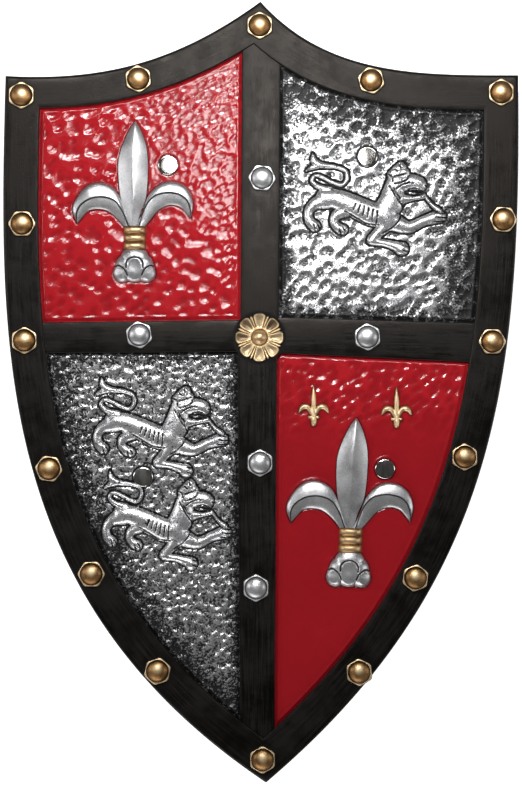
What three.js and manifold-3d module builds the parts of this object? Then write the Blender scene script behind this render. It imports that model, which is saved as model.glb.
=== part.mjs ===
// A heater shield moulded in one piece of foam, held by two straps that are riveted through it.
// It lies on its straps with its face up. Millimetres, +Z up, the top edge of the shield towards +Y.

import * as THREE from "three";
import { mergeVertices } from "three/addons/utils/BufferGeometryUtils.js";
import Module from "manifold-3d";

const wasm = await Module();
wasm.setup();

// Driving dimensions of the moulded body
const BAND_DEPTH = 18;
const BAR_DEPTH = 17;
const PANEL_DEPTH = 14;
const EDGE_CHAMFER = 2;
const BAND_WIDTH = 27.5;
const TOP_LEFT_BAND_WIDTH = 24.5;

// Driving dimensions of the straps and their rivets
const STRAP_WIDTH = 38;
const STRAP_THICKNESS = 3;
const STRAP_CLEARANCE = 30;
const STRAP_TAB_REACH = 14;
const STRAP_SLOPE_LENGTH = 36;
const RIVET_HEAD_RADIUS = 7.8;
const RIVET_HEAD_DEPTH = 2;
const RIVET_CAP_RADIUS = 6;
const RIVET_CAP_DEPTH = 1.5;
const RIVET_BEVEL = 0.5;
const RIVET_SHANK_RADIUS = 2.5;
const FIT_GAP = 0.3;

// Driving dimensions of the raised ornaments, each above the surface that it stands on
const STUD_ACROSS_FLATS = 19;
const STUD_NUT_DEPTH = 3;
const STUD_DOME_RADIUS = 8;
const STUD_DOME_HEIGHT = 6.5;
const STUD_BEVEL = 0.75;
const ROSETTE_RADIUS = 19;
const ROSETTE_PETALS = 8;
const ROSETTE_HEIGHT = 6;
const PETAL_HEIGHT = 4.2;
const FLEUR_HEIGHT = 6;
const FLEUR_CURL_HEIGHT = 5.1;
const FLEUR_RING_HEIGHT = 6.9;
const SMALL_FLEUR_SCALE = 0.24;
const LION_HEIGHT = 4;

// How finely curves are cut into straight stretches
const EDGE_STEPS = 16;
const ROUND_SIDES = 12;
const DOME_STEPS = 3;
const BROAD_RIDGE_SIDES = 8;
const RIDGE_SIDES = 6;
const THIN_RIDGE_SIDES = 4;
const THIN_LIMB = 4;
const SLOPE_STEPS = 8;
const WELD_DISTANCE = 1e-4;

// Heights worked out from the driving dimensions
const BACK_Z = STRAP_THICKNESS + STRAP_CLEARANCE;
const PANEL_Z = BACK_Z + PANEL_DEPTH;
const BAR_Z = BACK_Z + BAR_DEPTH;
const BAND_Z = BACK_Z + BAND_DEPTH;
const STRAP_TAB_Z = BACK_Z - FIT_GAP - STRAP_THICKNESS / 2;

// How far an ornament roots in the body, and how far a cut runs past what it cuts
const ROOT_DEPTH = 2;
const CUT_MARGIN = 5;

const at = (x, y) => new THREE.Vector2(x, y);

// The four corners of the outline, and its four edges taken clockwise from the left corner
const LEFT_CORNER = at(-199.5, 247);
const APEX = at(-0.3, 305);
const RIGHT_CORNER = at(201, 247.5);
const TIP = at(4, -305);
const EDGES = [
  { curve: bezier(LEFT_CORNER, at(-124.6, 242.7), at(-66, 257.1), APEX), band: TOP_LEFT_BAND_WIDTH },
  { curve: bezier(APEX, at(52.9, 245.6), at(126.4, 247.6), RIGHT_CORNER), band: BAND_WIDTH },
  { curve: bezier(RIGHT_CORNER, at(203.6, 17.9), at(189.4, -148.4), TIP), band: BAND_WIDTH },
  { curve: bezier(TIP, at(-211.3, -160.8), at(-205, 39.1), LEFT_CORNER), band: BAND_WIDTH },
];

// Each panel by its corner at the crossing of the bars and the far ends of its two straight sides
const PANELS = [
  { corner: at(-15.9, 56.3), across: at(-170, 54.4), along: at(-14.7, 260.8) },
  { corner: at(14.2, 58.6), across: at(164.8, 54), along: at(15.3, 252) },
  { corner: at(-18.2, 31.3), across: at(-166.9, 30.5), along: at(-16.3, -254.3) },
  { corner: at(12.6, 30.5), across: at(160.9, 23.5), along: at(10.7, -257.4) },
];

// Studs as [x, y, turn of the nut in degrees], those of the border band clockwise from the top
const BAND_STUDS = [
  [-0.9, 286, 0], [86, 243, 14], [187.4, 233.8, 0], [189, 134.7, 25], [180.4, 39.5, 30], [158.9, -50.6, 0],
  [120.5, -144.9, -8], [76.6, -218.4, 3], [1.3, -286.7, 0], [-80.6, -217.6, -12], [-132.2, -141.9, 30],
  [-165.3, -59.7, 23], [-184.4, 40.3, 0], [-186.3, 131.4, 30], [-186.8, 231.5, 0], [-95.6, 244.3, 6],
];
const BAR_STUDS = [[0.9, 167.1, 25], [-95, 44.7, 10], [83.2, 43, 5], [-0.7, -55.3, 0], [-3.8, -152.8, 0]];
const ROSETTE_PLACE = at(-1.1, 42.6);

// Rivets by place, each row holding one strap
const UPPER_RIVETS = [at(-72.5, 177.3), at(83.2, 183.9)];
const LOWER_RIVETS = [at(-92, -66.2), at(96.9, -60)];

// Fleurs-de-lis by the place of their collar, lions by the place of their middle
const FLEURS = [
  { place: at(-98.6, 120.3), turn: 0, size: 1 },
  { place: at(69.9, -115.8), turn: -2.5, size: 1.05 },
  { place: at(41.2, -17.5), turn: 0, size: SMALL_FLEUR_SCALE },
  { place: at(106, -19), turn: 0, size: SMALL_FLEUR_SCALE },
];
const LIONS = [
  { place: at(83, 150.8), stretch: at(1, 1) },
  { place: at(-84, -23.7), stretch: at(0.95, 0.97) },
  { place: at(-79, -96.3), stretch: at(0.91, 0.97) },
];

// A fleur-de-lis as ridges through [x, y, half width], in millimetres from the middle of its collar
const FLEUR_SPEAR = [[-1.5, 6, 4.5], [-1.1, 30, 9.4], [-1.2, 55, 11.4], [-0.2, 76, 7.6], [0.5, 91, 0.8]];
const FLEUR_CURL = [[4, 4, 4], [13, 23, 6.5], [22, 33, 8.5], [31, 34, 8.5], [39.5, 27, 6], [43.5, 15, 1]];
const FLEUR_FOOT = [[0, -6, 8], [0, -18, 14.5], [0, -28, 16.5], [0, -36, 13]];
const FLEUR_COLLAR_RINGS = [-6.3, 0, 6.3];
const FLEUR_COLLAR_REACH = 10;
const FLEUR_RING_HALF_WIDTH = 3.4;

// A petal of the rosette in the same way, in shares of the rosette's radius
const ROSETTE_PETAL = [[0.25, 0, 0.1], [0.6, 0, 0.3], [0.85, 0, 0.33], [1, 0, 0.12]];

// A walking lion as ridges through [x, y, half width], in millimetres from its middle
const LION_LIMBS = {
  body: [[-33, 3, 6], [-24, 0, 8], [-11, -5, 8.5], [4, -11, 10], [15, -13, 8]],
  neck: [[12, -12, 9], [18, -2, 10], [25, 9, 9.5], [28, 15, 8]],
  head: [[23, 16, 7], [32, 16, 8], [40, 14, 6.5], [45.5, 11, 3.5]],
  ear: [[22, 18, 5], [27, 24, 4], [29, 28, 1.5]],
  jaw: [[31, 3, 3], [38, 1, 2.5], [45, 3, 1.5]],
  raisedForeleg: [[16, -18, 7], [30, -20, 4.5], [42, -17.5, 3.6], [53, -13, 4.5], [58.5, -12, 3]],
  kneelingThigh: [[18, -16, 6], [11, -24, 4.5], [5, -30, 4]],
  kneelingFoot: [[4, -32, 3.5], [16, -34, 3], [25, -37.5, 4], [30, -41, 3.5]],
  farHindLeg: [[-30, 1, 7], [-42, -2, 4.5], [-47.5, -9, 2.8], [-45, -18, 3], [-40, -23, 3.6]],
  nearHindLeg: [[-19, -8, 4.5], [-27.5, -12, 3.4], [-27, -19, 2.7], [-20, -26, 3.4]],
  tail: [
    [-31, 8, 2.5], [-41, 12, 2], [-43, 16.5, 1.8], [-38, 18.5, 1.8], [-28, 14, 1.8], [-20, 11, 1.8],
    [-15.5, 16, 1.8], [-17, 23, 1.8], [-25, 26, 2], [-34, 27, 2.4], [-40, 29, 2.2], [-43, 34.5, 0.7],
  ],
};

// Materials
const paintedFoam = new THREE.MeshStandardMaterial({ color: 0x2b2b2c, roughness: 0.5, metalness: 0 });
const polishedNickel = new THREE.MeshStandardMaterial({ color: 0xcfcdc6, roughness: 0.15, metalness: 1 });
const blackWebbing = new THREE.MeshStandardMaterial({ color: 0x1d1c1b, roughness: 0.85, metalness: 0 });

function bezier(start, startHandle, endHandle, end) {
  return new THREE.CubicBezierCurve(start, startHandle, endHandle, end);
}

// A closed solid from a geometry, with its shared vertices welded
function solid(geometry) {
  const bare = new THREE.BufferGeometry();
  bare.setAttribute("position", geometry.getAttribute("position"));
  bare.setIndex(geometry.index);
  const welded = mergeVertices(bare, WELD_DISTANCE);
  const corners = welded.index.array;
  const kept = [];
  for (let i = 0; i < corners.length; i += 3) {
    const [a, b, c] = corners.slice(i, i + 3);
    if (a !== b && b !== c && c !== a) kept.push(a, b, c);
  }
  const vertProperties = welded.getAttribute("position").array;
  return new wasm.Manifold(new wasm.Mesh({ numProp: 3, vertProperties, triVerts: new Uint32Array(kept) }));
}

// A named mesh of a finished solid
function mesh(name, shape, material) {
  const { vertProperties, triVerts } = shape.getMesh();
  const geometry = new THREE.BufferGeometry();
  geometry.setAttribute("position", new THREE.BufferAttribute(vertProperties, 3));
  geometry.setIndex(new THREE.BufferAttribute(triVerts, 1));
  geometry.computeVertexNormals();
  const piece = new THREE.Mesh(geometry, material);
  piece.name = name;
  return piece;
}

// A flat shape raised from one height to another
function raised(shape, fromZ, toZ) {
  const geometry = new THREE.ExtrudeGeometry(shape, { depth: toZ - fromZ, bevelEnabled: false });
  return solid(geometry.translate(0, 0, fromZ));
}

// A profile of [radius, height] stops from the bottom up, turned round the Z axis and moved to its place
function turned(profile, place) {
  const points = profile.map(([radius, height]) => at(radius, height));
  const geometry = new THREE.LatheGeometry(points, ROUND_SIDES);
  return solid(geometry.rotateX(Math.PI / 2).translate(place.x, place.y, 0));
}

function widestOf(stops) {
  return Math.max(...stops.map(([, , halfWidth]) => halfWidth));
}

// A ridge along a smooth line through [x, y, half width] stops, with its crest above baseZ
function ridge(stops, baseZ, height, sides, turnInto) {
  const line = new THREE.CatmullRomCurve3(stops.map((stop) => new THREE.Vector3(...stop)));
  const widest = widestOf(stops);
  const geometry = new THREE.CylinderGeometry(1, 1, 1, sides, 2 * (stops.length - 1));
  const position = geometry.getAttribute("position");
  for (let i = 0; i < position.count; i++) {
    const share = 0.5 + position.getY(i);
    const stop = line.getPoint(share);
    const along = line.getTangent(share).setZ(0).normalize();
    const aside = position.getX(i) * stop.z;
    const crest = height * Math.sqrt(stop.z / widest);
    const place = turnInto(stop.x + along.y * aside, stop.y - along.x * aside);
    position.setXYZ(i, place.x, place.y, baseZ + position.getZ(i) * crest);
  }
  return solid(geometry);
}

// The outline of the shield
function outlineShape() {
  const outline = new THREE.Shape();
  EDGES.forEach(({ curve }) => outline.curves.push(curve));
  return outline;
}

// An edge of the outline moved inwards by the width of the band along it
function insetEdge({ curve, band }) {
  return Array.from({ length: EDGE_STEPS + 1 }, (_, i) => {
    const place = curve.getPoint(i / EDGE_STEPS);
    const along = curve.getTangent(i / EDGE_STEPS);
    return at(place.x + along.y * band, place.y - along.x * band);
  });
}

// Where two lines of points cross, with the first point after the crossing on each
function crossing(first, second) {
  for (let i = 1; i < first.length; i++) {
    for (let j = 1; j < second.length; j++) {
      const along = first[i].clone().sub(first[i - 1]);
      const across = second[j].clone().sub(second[j - 1]);
      const apart = second[j - 1].clone().sub(first[i - 1]);
      const area = along.cross(across);
      const share = apart.cross(across) / area;
      const otherShare = apart.cross(along) / area;
      if (share >= 0 && share <= 1 && otherShare >= 0 && otherShare <= 1) {
        return { point: first[i - 1].clone().addScaledVector(along, share), onFirst: i, onSecond: j };
      }
    }
  }
  throw new Error("two neighbouring edges of the band do not meet");
}

// The field inside the border band
function fieldShape() {
  const sides = EDGES.map(insetEdge);
  const meetings = sides.map((side, i) => crossing(side, sides[(i + 1) % sides.length]));
  const points = sides.flatMap((side, i) => {
    const start = meetings[(i + sides.length - 1) % sides.length];
    return [start.point, ...side.slice(start.onSecond, meetings[i].onFirst)];
  });
  return new THREE.Shape(points);
}

// The quarter of the field that one panel takes, drawn well past the field's edge
function quarterShape({ corner, across, along }) {
  const sideways = across.clone().sub(corner).multiplyScalar(2);
  const lengthways = along.clone().sub(corner).multiplyScalar(2);
  return new THREE.Shape([
    corner,
    corner.clone().add(sideways),
    corner.clone().add(sideways).add(lengthways),
    corner.clone().add(lengthways),
  ]);
}

// The slab of foam with its field sunk to the bars and its panels sunk below them
function slab() {
  const geometry = new THREE.ExtrudeGeometry(outlineShape(), {
    depth: BAND_DEPTH - 2 * EDGE_CHAMFER,
    curveSegments: EDGE_STEPS,
    bevelThickness: EDGE_CHAMFER,
    bevelSize: EDGE_CHAMFER,
    bevelOffset: -EDGE_CHAMFER,
    bevelSegments: 1,
  });
  const block = solid(geometry.translate(0, 0, BACK_Z + EDGE_CHAMFER));
  const field = fieldShape();
  const sunkField = block.subtract(raised(field, BAR_Z, BAND_Z + CUT_MARGIN));
  return PANELS.reduce((whole, panel) => {
    const quarter = raised(quarterShape(panel), PANEL_Z, BAND_Z + CUT_MARGIN);
    return whole.subtract(quarter.intersect(raised(field, PANEL_Z, BAND_Z + CUT_MARGIN)));
  }, sunkField);
}

// A dome that rises straight to a shoulder above baseZ, then rounds over to its height
function dome(place, radius, baseZ, shoulder, height) {
  const round = Array.from({ length: DOME_STEPS }, (_, i) => {
    const angle = (i / DOME_STEPS) * (Math.PI / 2);
    return [radius * Math.cos(angle), baseZ + shoulder + (height - shoulder) * Math.sin(angle)];
  });
  const rootZ = baseZ - ROOT_DEPTH;
  return turned([[0, rootZ], [radius, rootZ], ...round, [0, baseZ + height]], place);
}

// A stud: a six-sided nut turned by its own angle, with a dome in it
function stud([x, y, turn], baseZ) {
  const corner = STUD_ACROSS_FLATS / Math.sqrt(3);
  const nutHeight = STUD_NUT_DEPTH + ROOT_DEPTH;
  const nut = new THREE.CylinderGeometry(corner - STUD_BEVEL, corner, nutHeight, 6);
  nut.rotateX(Math.PI / 2).rotateZ(THREE.MathUtils.degToRad(turn));
  nut.translate(x, y, baseZ + STUD_NUT_DEPTH - nutHeight / 2);
  const shoulder = STUD_NUT_DEPTH / 2;
  return solid(nut).add(dome(at(x, y), STUD_DOME_RADIUS, baseZ, shoulder, STUD_DOME_HEIGHT));
}

function studs() {
  const onBand = BAND_STUDS.map((place) => stud(place, BAND_Z));
  const onBars = BAR_STUDS.map((place) => stud(place, BAR_Z));
  return [...onBand, ...onBars];
}

// The rosette where the bars cross: a ring of petals round a dome
function rosette() {
  const stops = ROSETTE_PETAL.map((stop) => stop.map((share) => share * ROSETTE_RADIUS));
  const petals = Array.from({ length: ROSETTE_PETALS }, (_, i) => {
    const angle = (i / ROSETTE_PETALS) * 2 * Math.PI;
    return ridge(stops, BAR_Z, PETAL_HEIGHT, RIDGE_SIDES, (x, y) =>
      at(x, y).rotateAround(at(0, 0), angle).add(ROSETTE_PLACE),
    );
  });
  return [dome(ROSETTE_PLACE, ROSETTE_RADIUS / 3, BAR_Z, 0, ROSETTE_HEIGHT), ...petals];
}

// A fleur-de-lis: a spear, two curls, a foot and a ringed collar
function fleur({ place, turn, size }) {
  const broadSides = size < 1 ? THIN_RIDGE_SIDES : BROAD_RIDGE_SIDES;
  const turnInto = (x, y) =>
    at(x * size, y * size).rotateAround(at(0, 0), THREE.MathUtils.degToRad(turn)).add(place);
  const mirrored = (stops) => stops.map(([x, y, halfWidth]) => [-x, y, halfWidth]);
  const draw = (stops, height, sides) => ridge(stops, PANEL_Z, height * Math.sqrt(size), sides, turnInto);
  const collar = FLEUR_COLLAR_RINGS.map((y) => {
    const ring = [-FLEUR_COLLAR_REACH, FLEUR_COLLAR_REACH].map((x) => [x, y, FLEUR_RING_HALF_WIDTH]);
    return draw(ring, FLEUR_RING_HEIGHT, broadSides);
  });
  return [
    draw(FLEUR_SPEAR, FLEUR_HEIGHT, THIN_RIDGE_SIDES),
    draw(FLEUR_CURL, FLEUR_CURL_HEIGHT, THIN_RIDGE_SIDES),
    draw(mirrored(FLEUR_CURL), FLEUR_CURL_HEIGHT, THIN_RIDGE_SIDES),
    draw(FLEUR_FOOT, FLEUR_HEIGHT, broadSides),
    ...collar,
  ];
}

// A lion built up from the ridges of its limbs, the wider ones higher
function lion({ place, stretch }) {
  const widest = Math.max(...Object.values(LION_LIMBS).map(widestOf));
  return Object.values(LION_LIMBS).map((stops) => {
    const height = LION_HEIGHT * Math.sqrt(widestOf(stops) / widest);
    const sides = widestOf(stops) < THIN_LIMB ? THIN_RIDGE_SIDES : RIDGE_SIDES;
    return ridge(stops, PANEL_Z, height, sides, (x, y) => at(x * stretch.x, y * stretch.y).add(place));
  });
}

// A round clearance for a rivet between two heights
function clearance(place, rivetRadius, fromZ, toZ) {
  const radius = rivetRadius + FIT_GAP;
  return turned([[0, fromZ], [radius, fromZ], [radius, toZ], [0, toZ]], place);
}

// What a rivet takes out of the body: the hole of its shank, and the seat of its head in the ornaments
function rivetSeat(place) {
  const topZ = BAND_Z + CUT_MARGIN;
  const hole = clearance(place, RIVET_SHANK_RADIUS, BACK_Z - CUT_MARGIN, topZ);
  return hole.add(clearance(place, RIVET_HEAD_RADIUS, PANEL_Z, topZ));
}

function shieldBody() {
  const ornaments = [...studs(), ...rosette(), ...FLEURS.flatMap(fleur), ...LIONS.flatMap(lion)];
  const moulding = ornaments.reduce((whole, piece) => whole.add(piece), slab());
  const rivets = [...UPPER_RIVETS, ...LOWER_RIVETS];
  return rivets.reduce((whole, place) => whole.subtract(rivetSeat(place)), moulding);
}

// A rivet: a bevelled head on the face, a shank and a cap behind the strap
function rivet(place) {
  const headZ = PANEL_Z + FIT_GAP;
  const headTopZ = headZ + RIVET_HEAD_DEPTH;
  const capTopZ = STRAP_TAB_Z - STRAP_THICKNESS / 2 - FIT_GAP;
  const capZ = capTopZ - RIVET_CAP_DEPTH;
  const profile = [
    [0, capZ],
    [RIVET_CAP_RADIUS - RIVET_BEVEL, capZ],
    [RIVET_CAP_RADIUS, capZ + RIVET_BEVEL],
    [RIVET_CAP_RADIUS, capTopZ],
    [RIVET_SHANK_RADIUS, capTopZ],
    [RIVET_SHANK_RADIUS, headZ],
    [RIVET_HEAD_RADIUS, headZ],
    [RIVET_HEAD_RADIUS, headTopZ - RIVET_BEVEL],
    [RIVET_HEAD_RADIUS - RIVET_BEVEL, headTopZ],
    [0, headTopZ],
  ];
  return turned(profile, place);
}

// The middle line of a strap seen from its edge: tab, slope, flat run, slope, tab
function strapLine(halfSpan) {
  const tabInner = halfSpan - STRAP_TAB_REACH;
  const runEnd = tabInner - STRAP_SLOPE_LENGTH;
  const middle = tabInner - STRAP_SLOPE_LENGTH / 2;
  const runZ = STRAP_THICKNESS / 2;
  const foot = at(runEnd, runZ);
  const slope = bezier(foot, at(middle, runZ), at(middle, STRAP_TAB_Z), at(tabInner, STRAP_TAB_Z));
  const half = [...slope.getPoints(SLOPE_STEPS), at(halfSpan + STRAP_TAB_REACH, STRAP_TAB_Z)];
  return [...half.map(({ x, y }) => at(-x, y)).reverse(), ...half];
}

// A line of points moved sideways by a distance, square to its own direction
function moved(line, distance) {
  return line.map((point, i) => {
    const before = line[Math.max(i - 1, 0)];
    const after = line[Math.min(i + 1, line.length - 1)];
    const along = after.clone().sub(before).normalize();
    return at(point.x - along.y * distance, point.y + along.x * distance);
  });
}

// A strap between two rivets, in its own frame with X from rivet to rivet
function strap(rivets) {
  const halfSpan = rivets[0].distanceTo(rivets[1]) / 2;
  const line = strapLine(halfSpan);
  const section = [...moved(line, -STRAP_THICKNESS / 2), ...moved(line, STRAP_THICKNESS / 2).reverse()];
  const flat = { depth: STRAP_WIDTH, bevelEnabled: false };
  const geometry = new THREE.ExtrudeGeometry(new THREE.Shape(section), flat);
  const ribbon = solid(geometry.rotateX(Math.PI / 2).translate(0, STRAP_WIDTH / 2, 0));
  const hole = (x) => clearance(at(x, 0), RIVET_SHANK_RADIUS, STRAP_TAB_Z - CUT_MARGIN, BACK_Z);
  return ribbon.subtract(hole(-halfSpan)).subtract(hole(halfSpan));
}

// A strap as a mesh, turned and placed so that its holes lie under its rivets
function placedStrap(name, rivets) {
  const piece = mesh(name, strap(rivets), blackWebbing);
  const across = rivets[1].clone().sub(rivets[0]);
  const middle = rivets[0].clone().add(rivets[1]).multiplyScalar(0.5);
  piece.position.set(middle.x, middle.y, 0);
  piece.rotation.z = across.angle();
  return piece;
}

const shield = new THREE.Group();
shield.add(mesh("shield_body", shieldBody(), paintedFoam));
shield.add(placedStrap("hand_strap", UPPER_RIVETS));
shield.add(placedStrap("forearm_strap", LOWER_RIVETS));
[["upper", UPPER_RIVETS], ["lower", LOWER_RIVETS]].forEach(([row, [left, right]]) => {
  shield.add(mesh(`rivet_${row}_left`, rivet(left), polishedNickel));
  shield.add(mesh(`rivet_${row}_right`, rivet(right), polishedNickel));
});

export default shield;
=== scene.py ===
import functools
import math

import bpy
import numpy as np
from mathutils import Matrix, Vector


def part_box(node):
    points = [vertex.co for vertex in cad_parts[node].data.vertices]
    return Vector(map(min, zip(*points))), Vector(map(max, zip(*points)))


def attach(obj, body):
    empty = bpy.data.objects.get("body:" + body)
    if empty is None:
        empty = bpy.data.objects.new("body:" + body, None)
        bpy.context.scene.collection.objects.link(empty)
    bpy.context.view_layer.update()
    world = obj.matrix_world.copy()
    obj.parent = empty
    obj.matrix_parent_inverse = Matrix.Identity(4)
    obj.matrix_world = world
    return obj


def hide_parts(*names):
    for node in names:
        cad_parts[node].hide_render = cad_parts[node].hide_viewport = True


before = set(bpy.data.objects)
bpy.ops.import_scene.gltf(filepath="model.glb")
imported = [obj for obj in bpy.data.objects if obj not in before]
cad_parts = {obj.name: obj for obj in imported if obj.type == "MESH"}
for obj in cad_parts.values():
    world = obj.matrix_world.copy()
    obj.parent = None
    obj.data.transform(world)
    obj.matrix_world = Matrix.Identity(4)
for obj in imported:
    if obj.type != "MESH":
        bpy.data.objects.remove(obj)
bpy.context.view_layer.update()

# The script's own unit is the millimetre, and a mesh is scaled to metres when it is made
MM = 0.001

# Heights of the moulded body, from the surface that the shield lies on
BACK_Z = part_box("shield_body")[0].z / MM
PANEL_Z = BACK_Z + 14
BAR_Z = BACK_Z + 17
BAND_Z = BACK_Z + 18
FLOOR_DEPTH = 3
HIDDEN_LAP = 1.2

# The outline: its corners, and each edge as a curve taken clockwise from the left corner
LEFT_CORNER = (-199.5, 247)
APEX = (-0.3, 305)
RIGHT_CORNER = (201, 247.5)
TIP = (4, -305)
EDGES = [
    (LEFT_CORNER, (-124.6, 242.7), (-66, 257.1), APEX),
    (APEX, (52.9, 245.6), (126.4, 247.6), RIGHT_CORNER),
    (RIGHT_CORNER, (203.6, 17.9), (189.4, -148.4), TIP),
    (TIP, (-211.3, -160.8), (-205, 39.1), LEFT_CORNER),
]
TOP_LEFT_EDGE, TOP_RIGHT_EDGE, RIGHT_EDGE, LEFT_EDGE = range(4)
BAND_WIDTHS = np.array([24.5, 27.5, 27.5, 27.5])
BAND_INNER_ROUND = 1.3
BAND_OUTER_ROUND = 2.6
BACK_ROUND = 2
BACK_RIM = 9
BACK_STEP = 0.6
EDGE_RING_SHARES = (0.35, 0.6)
BAND_RING_SHARES = (0.25, 0.45, 0.65, 0.85)
BAR_ROUND = 1.0
BAR_CROWN = 0.4
BAR_CROWN_SHARES = np.linspace(0.1, 0.9, 9)
BAR_REACH = 16
BAR_STEPS = 160
LEVEL_BAR_DROP = 0.1
EDGE_SAMPLES = 400
EDGE_STEPS = 110

# Panels: the corner at the crossing of the bars, the far ends of the two straight sides, the border
# edges that close them, and the hammering: pitch and depth of the dents and how far they are drawn out.
# One panel has a coarse side with a pitch of its own, one has flat tops between its dents from a share
# of their depth upwards, and one is smooth below a height
PANELS = {
    "panel_upper_left": dict(
        corner=(-15.9, 56.3), across=(-170, 54.4), along=(-14.7, 260.8), edges=(LEFT_EDGE, TOP_LEFT_EDGE),
        pitch=5.4, depth=0.36, drawn_out=1.15, paint="red", seed=3, coarse_pitch=9.5,
    ),
    "panel_upper_right": dict(
        corner=(14.2, 58.6), across=(164.8, 54), along=(15.3, 252), edges=(RIGHT_EDGE, TOP_RIGHT_EDGE),
        pitch=7.6, depth=0.7, drawn_out=1.1, paint="coarse_silver", seed=11, plateau=0.85,
    ),
    "panel_lower_left": dict(
        corner=(-18.2, 31.3), across=(-166.9, 30.5), along=(-16.3, -254.3), edges=(LEFT_EDGE,),
        pitch=5.0, depth=0.5, drawn_out=1.1, paint="fine_silver", seed=23,
    ),
    "panel_lower_right": dict(
        corner=(12.6, 30.5), across=(160.9, 23.5), along=(10.7, -257.4), edges=(RIGHT_EDGE,),
        pitch=7.4, depth=0.68, drawn_out=1.2, paint="red", seed=37, smooth_below=-5,
    ),
}
PANEL_CELL = 0.85
PANEL_POINT_SHARE = 0.996
SIDE_RUN_BACK = 40
SIDE_RUN_ON = 400
LIP_WIDTH = 3.2
LIP_DROP = 1.3
LIP_BEAD = 0.2
LIP_BEAD_HALF = 1.5
BAR_MARGIN_SHARE = 3
DENT_LEAN = math.radians(40)
DENT_RIDGE = 0.3
DENT_MEAN = 0.85
DENT_HIGHEST = 1.1
DENT_SHARPNESS = 16
DENT_TIGHTNESS = (0.45, 1.3)
WANDER_PITCH = 15
WANDER_REACH = 2
WAVE_PITCH = 24
WAVE_LOW = 0.55
WAVE_SPAN = 0.9
FINE_SIDE = (0.8, 0.6)
FINE_RANGE = (15, 75)
COARSE_RISE = 2.2
SMOOTH_RANGE = (-50, 22)
SMOOTH_SHARE = 0.06
CALM_AT_EDGE = (1, 6)
CALM_AT_FIGURE = (0, 4)
CALM_AT_SEAT = (0, 3)
SEAT_DEPTH = 0.4
SEAT_SLOPE = (-0.6, 1.2)

# Studs: x, y and the turn of the nut in degrees, those of the border clockwise from the top
BAND_STUDS = [
    (-0.9, 286, 0), (86, 243, 14), (187.4, 233.8, 0), (189, 134.7, 25), (180.4, 39.5, 30), (158.9, -50.6, 0),
    (120.5, -144.9, -8), (76.6, -218.4, 3), (1.3, -286.7, 0), (-80.6, -217.6, -12), (-132.2, -141.9, 30),
    (-165.3, -59.7, 23), (-184.4, 40.3, 0), (-186.3, 131.4, 30), (-186.8, 231.5, 0), (-95.6, 244.3, 6),
]
BAR_STUDS = [(0.9, 167.1, 25), (-95, 44.7, 10), (83.2, 43, 5), (-0.7, -55.3, 0), (-3.8, -152.8, 0)]
STUD_FLAT_RADIUS = 9.5
STUD_CORNER_RADIUS = 10.5
STUD_NUT_HEIGHT = 3
STUD_BEVEL = 0.6
STUD_SHADOW = 0.7
STUD_RIM_INNER = 8.95
STUD_GROOVE_DEPTH = 0.9
STUD_DOME_RADIUS = 8.6
STUD_HEIGHT = 6.5
STUD_DOME_RISES = np.radians(np.linspace(6, 89, 14))
# Each dome gets a painted highlight round a point a little towards the shield's top from its middle, and
# painted shade towards its foot, stronger on gold studs than on silver ones
STUD_HIGHLIGHT_UP = 0.22
STUD_HIGHLIGHT_RANGE = (0.1, 0.6)
STUD_SHADE_RANGE = (0.3, 0.95)
STUD_ROOT = 1.5
GOLD_STUD_SHADE = 0.88
SILVER_STUD_SHADE = 0.62
ROUND_SEGMENTS = 60

# The rosette where the bars cross
ROSETTE_PLACE = (-1.1, 42.6)
ROSETTE_RADIUS = 19
ROSETTE_HEIGHT = 6
ROSETTE_EYE_RADIUS = 5.2
ROSETTE_EYE_BASE = 2.2
ROSETTE_RING_RADIUS = 6.1
ROSETTE_RING_HALF = 1.1
ROSETTE_SEAM_AT = 0.8
ROSETTE_SEAM_HALF = 0.13
ROSETTE_PETALS = 8
ROSETTE_CELL = 0.35
ROSETTE_SHADOW = 2
ROSETTE_HALO_RISE = 0.35
ROSETTE_SINK = 0.25
ROSETTE_SEED = 8

# Rivets by node, and the sizes of their heads, shanks and back caps
RIVETS = {
    "rivet_upper_left": (-72.5, 177.3),
    "rivet_upper_right": (83.2, 183.9),
    "rivet_lower_left": (-92, -66.2),
    "rivet_lower_right": (96.9, -60),
}
RIVET_HEAD_RADIUS = 7.8
RIVET_CAP_RADIUS = 6
RIVET_SHANK_RADIUS = 2.5
RIVET_HEAD_DEPTH = 2
RIVET_HEAD_ROUND = 1.1
RIVET_CAP_DEPTH = 1.5
RIVET_CAP_ROUND = 1
RIVET_CAP_EDGES = (0.15, 0.8)
RIVET_CAP_CROWN = 0.02
RIVET_POINT = 0.05
RIVET_SEAT_RADIUS = 8.2
RIVET_DOME = 0.1
RIVET_DOME_SHARES = (0.8, 0.6, 0.4, 0.2, 0.01)

# Straps: each runs between two rivets behind the shield
STRAPS = {
    "hand_strap": ("rivet_upper_left", "rivet_upper_right"),
    "forearm_strap": ("rivet_lower_left", "rivet_lower_right"),
}
STRAP_WIDTH = 38
STRAP_THICKNESS = 3
STRAP_TAB_REACH = 14
STRAP_SLOPE_LENGTH = 36
STRAP_GAP = 0.3
STRAP_RIBS = 24
STRAP_RIB_STEPS = 5
STRAP_RIB_DEPTH = 0.22
STRAP_EDGE_SHARE = 0.06
STRAP_EDGE_THINNEST = 0.04
STRAP_STEPS = 80

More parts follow.
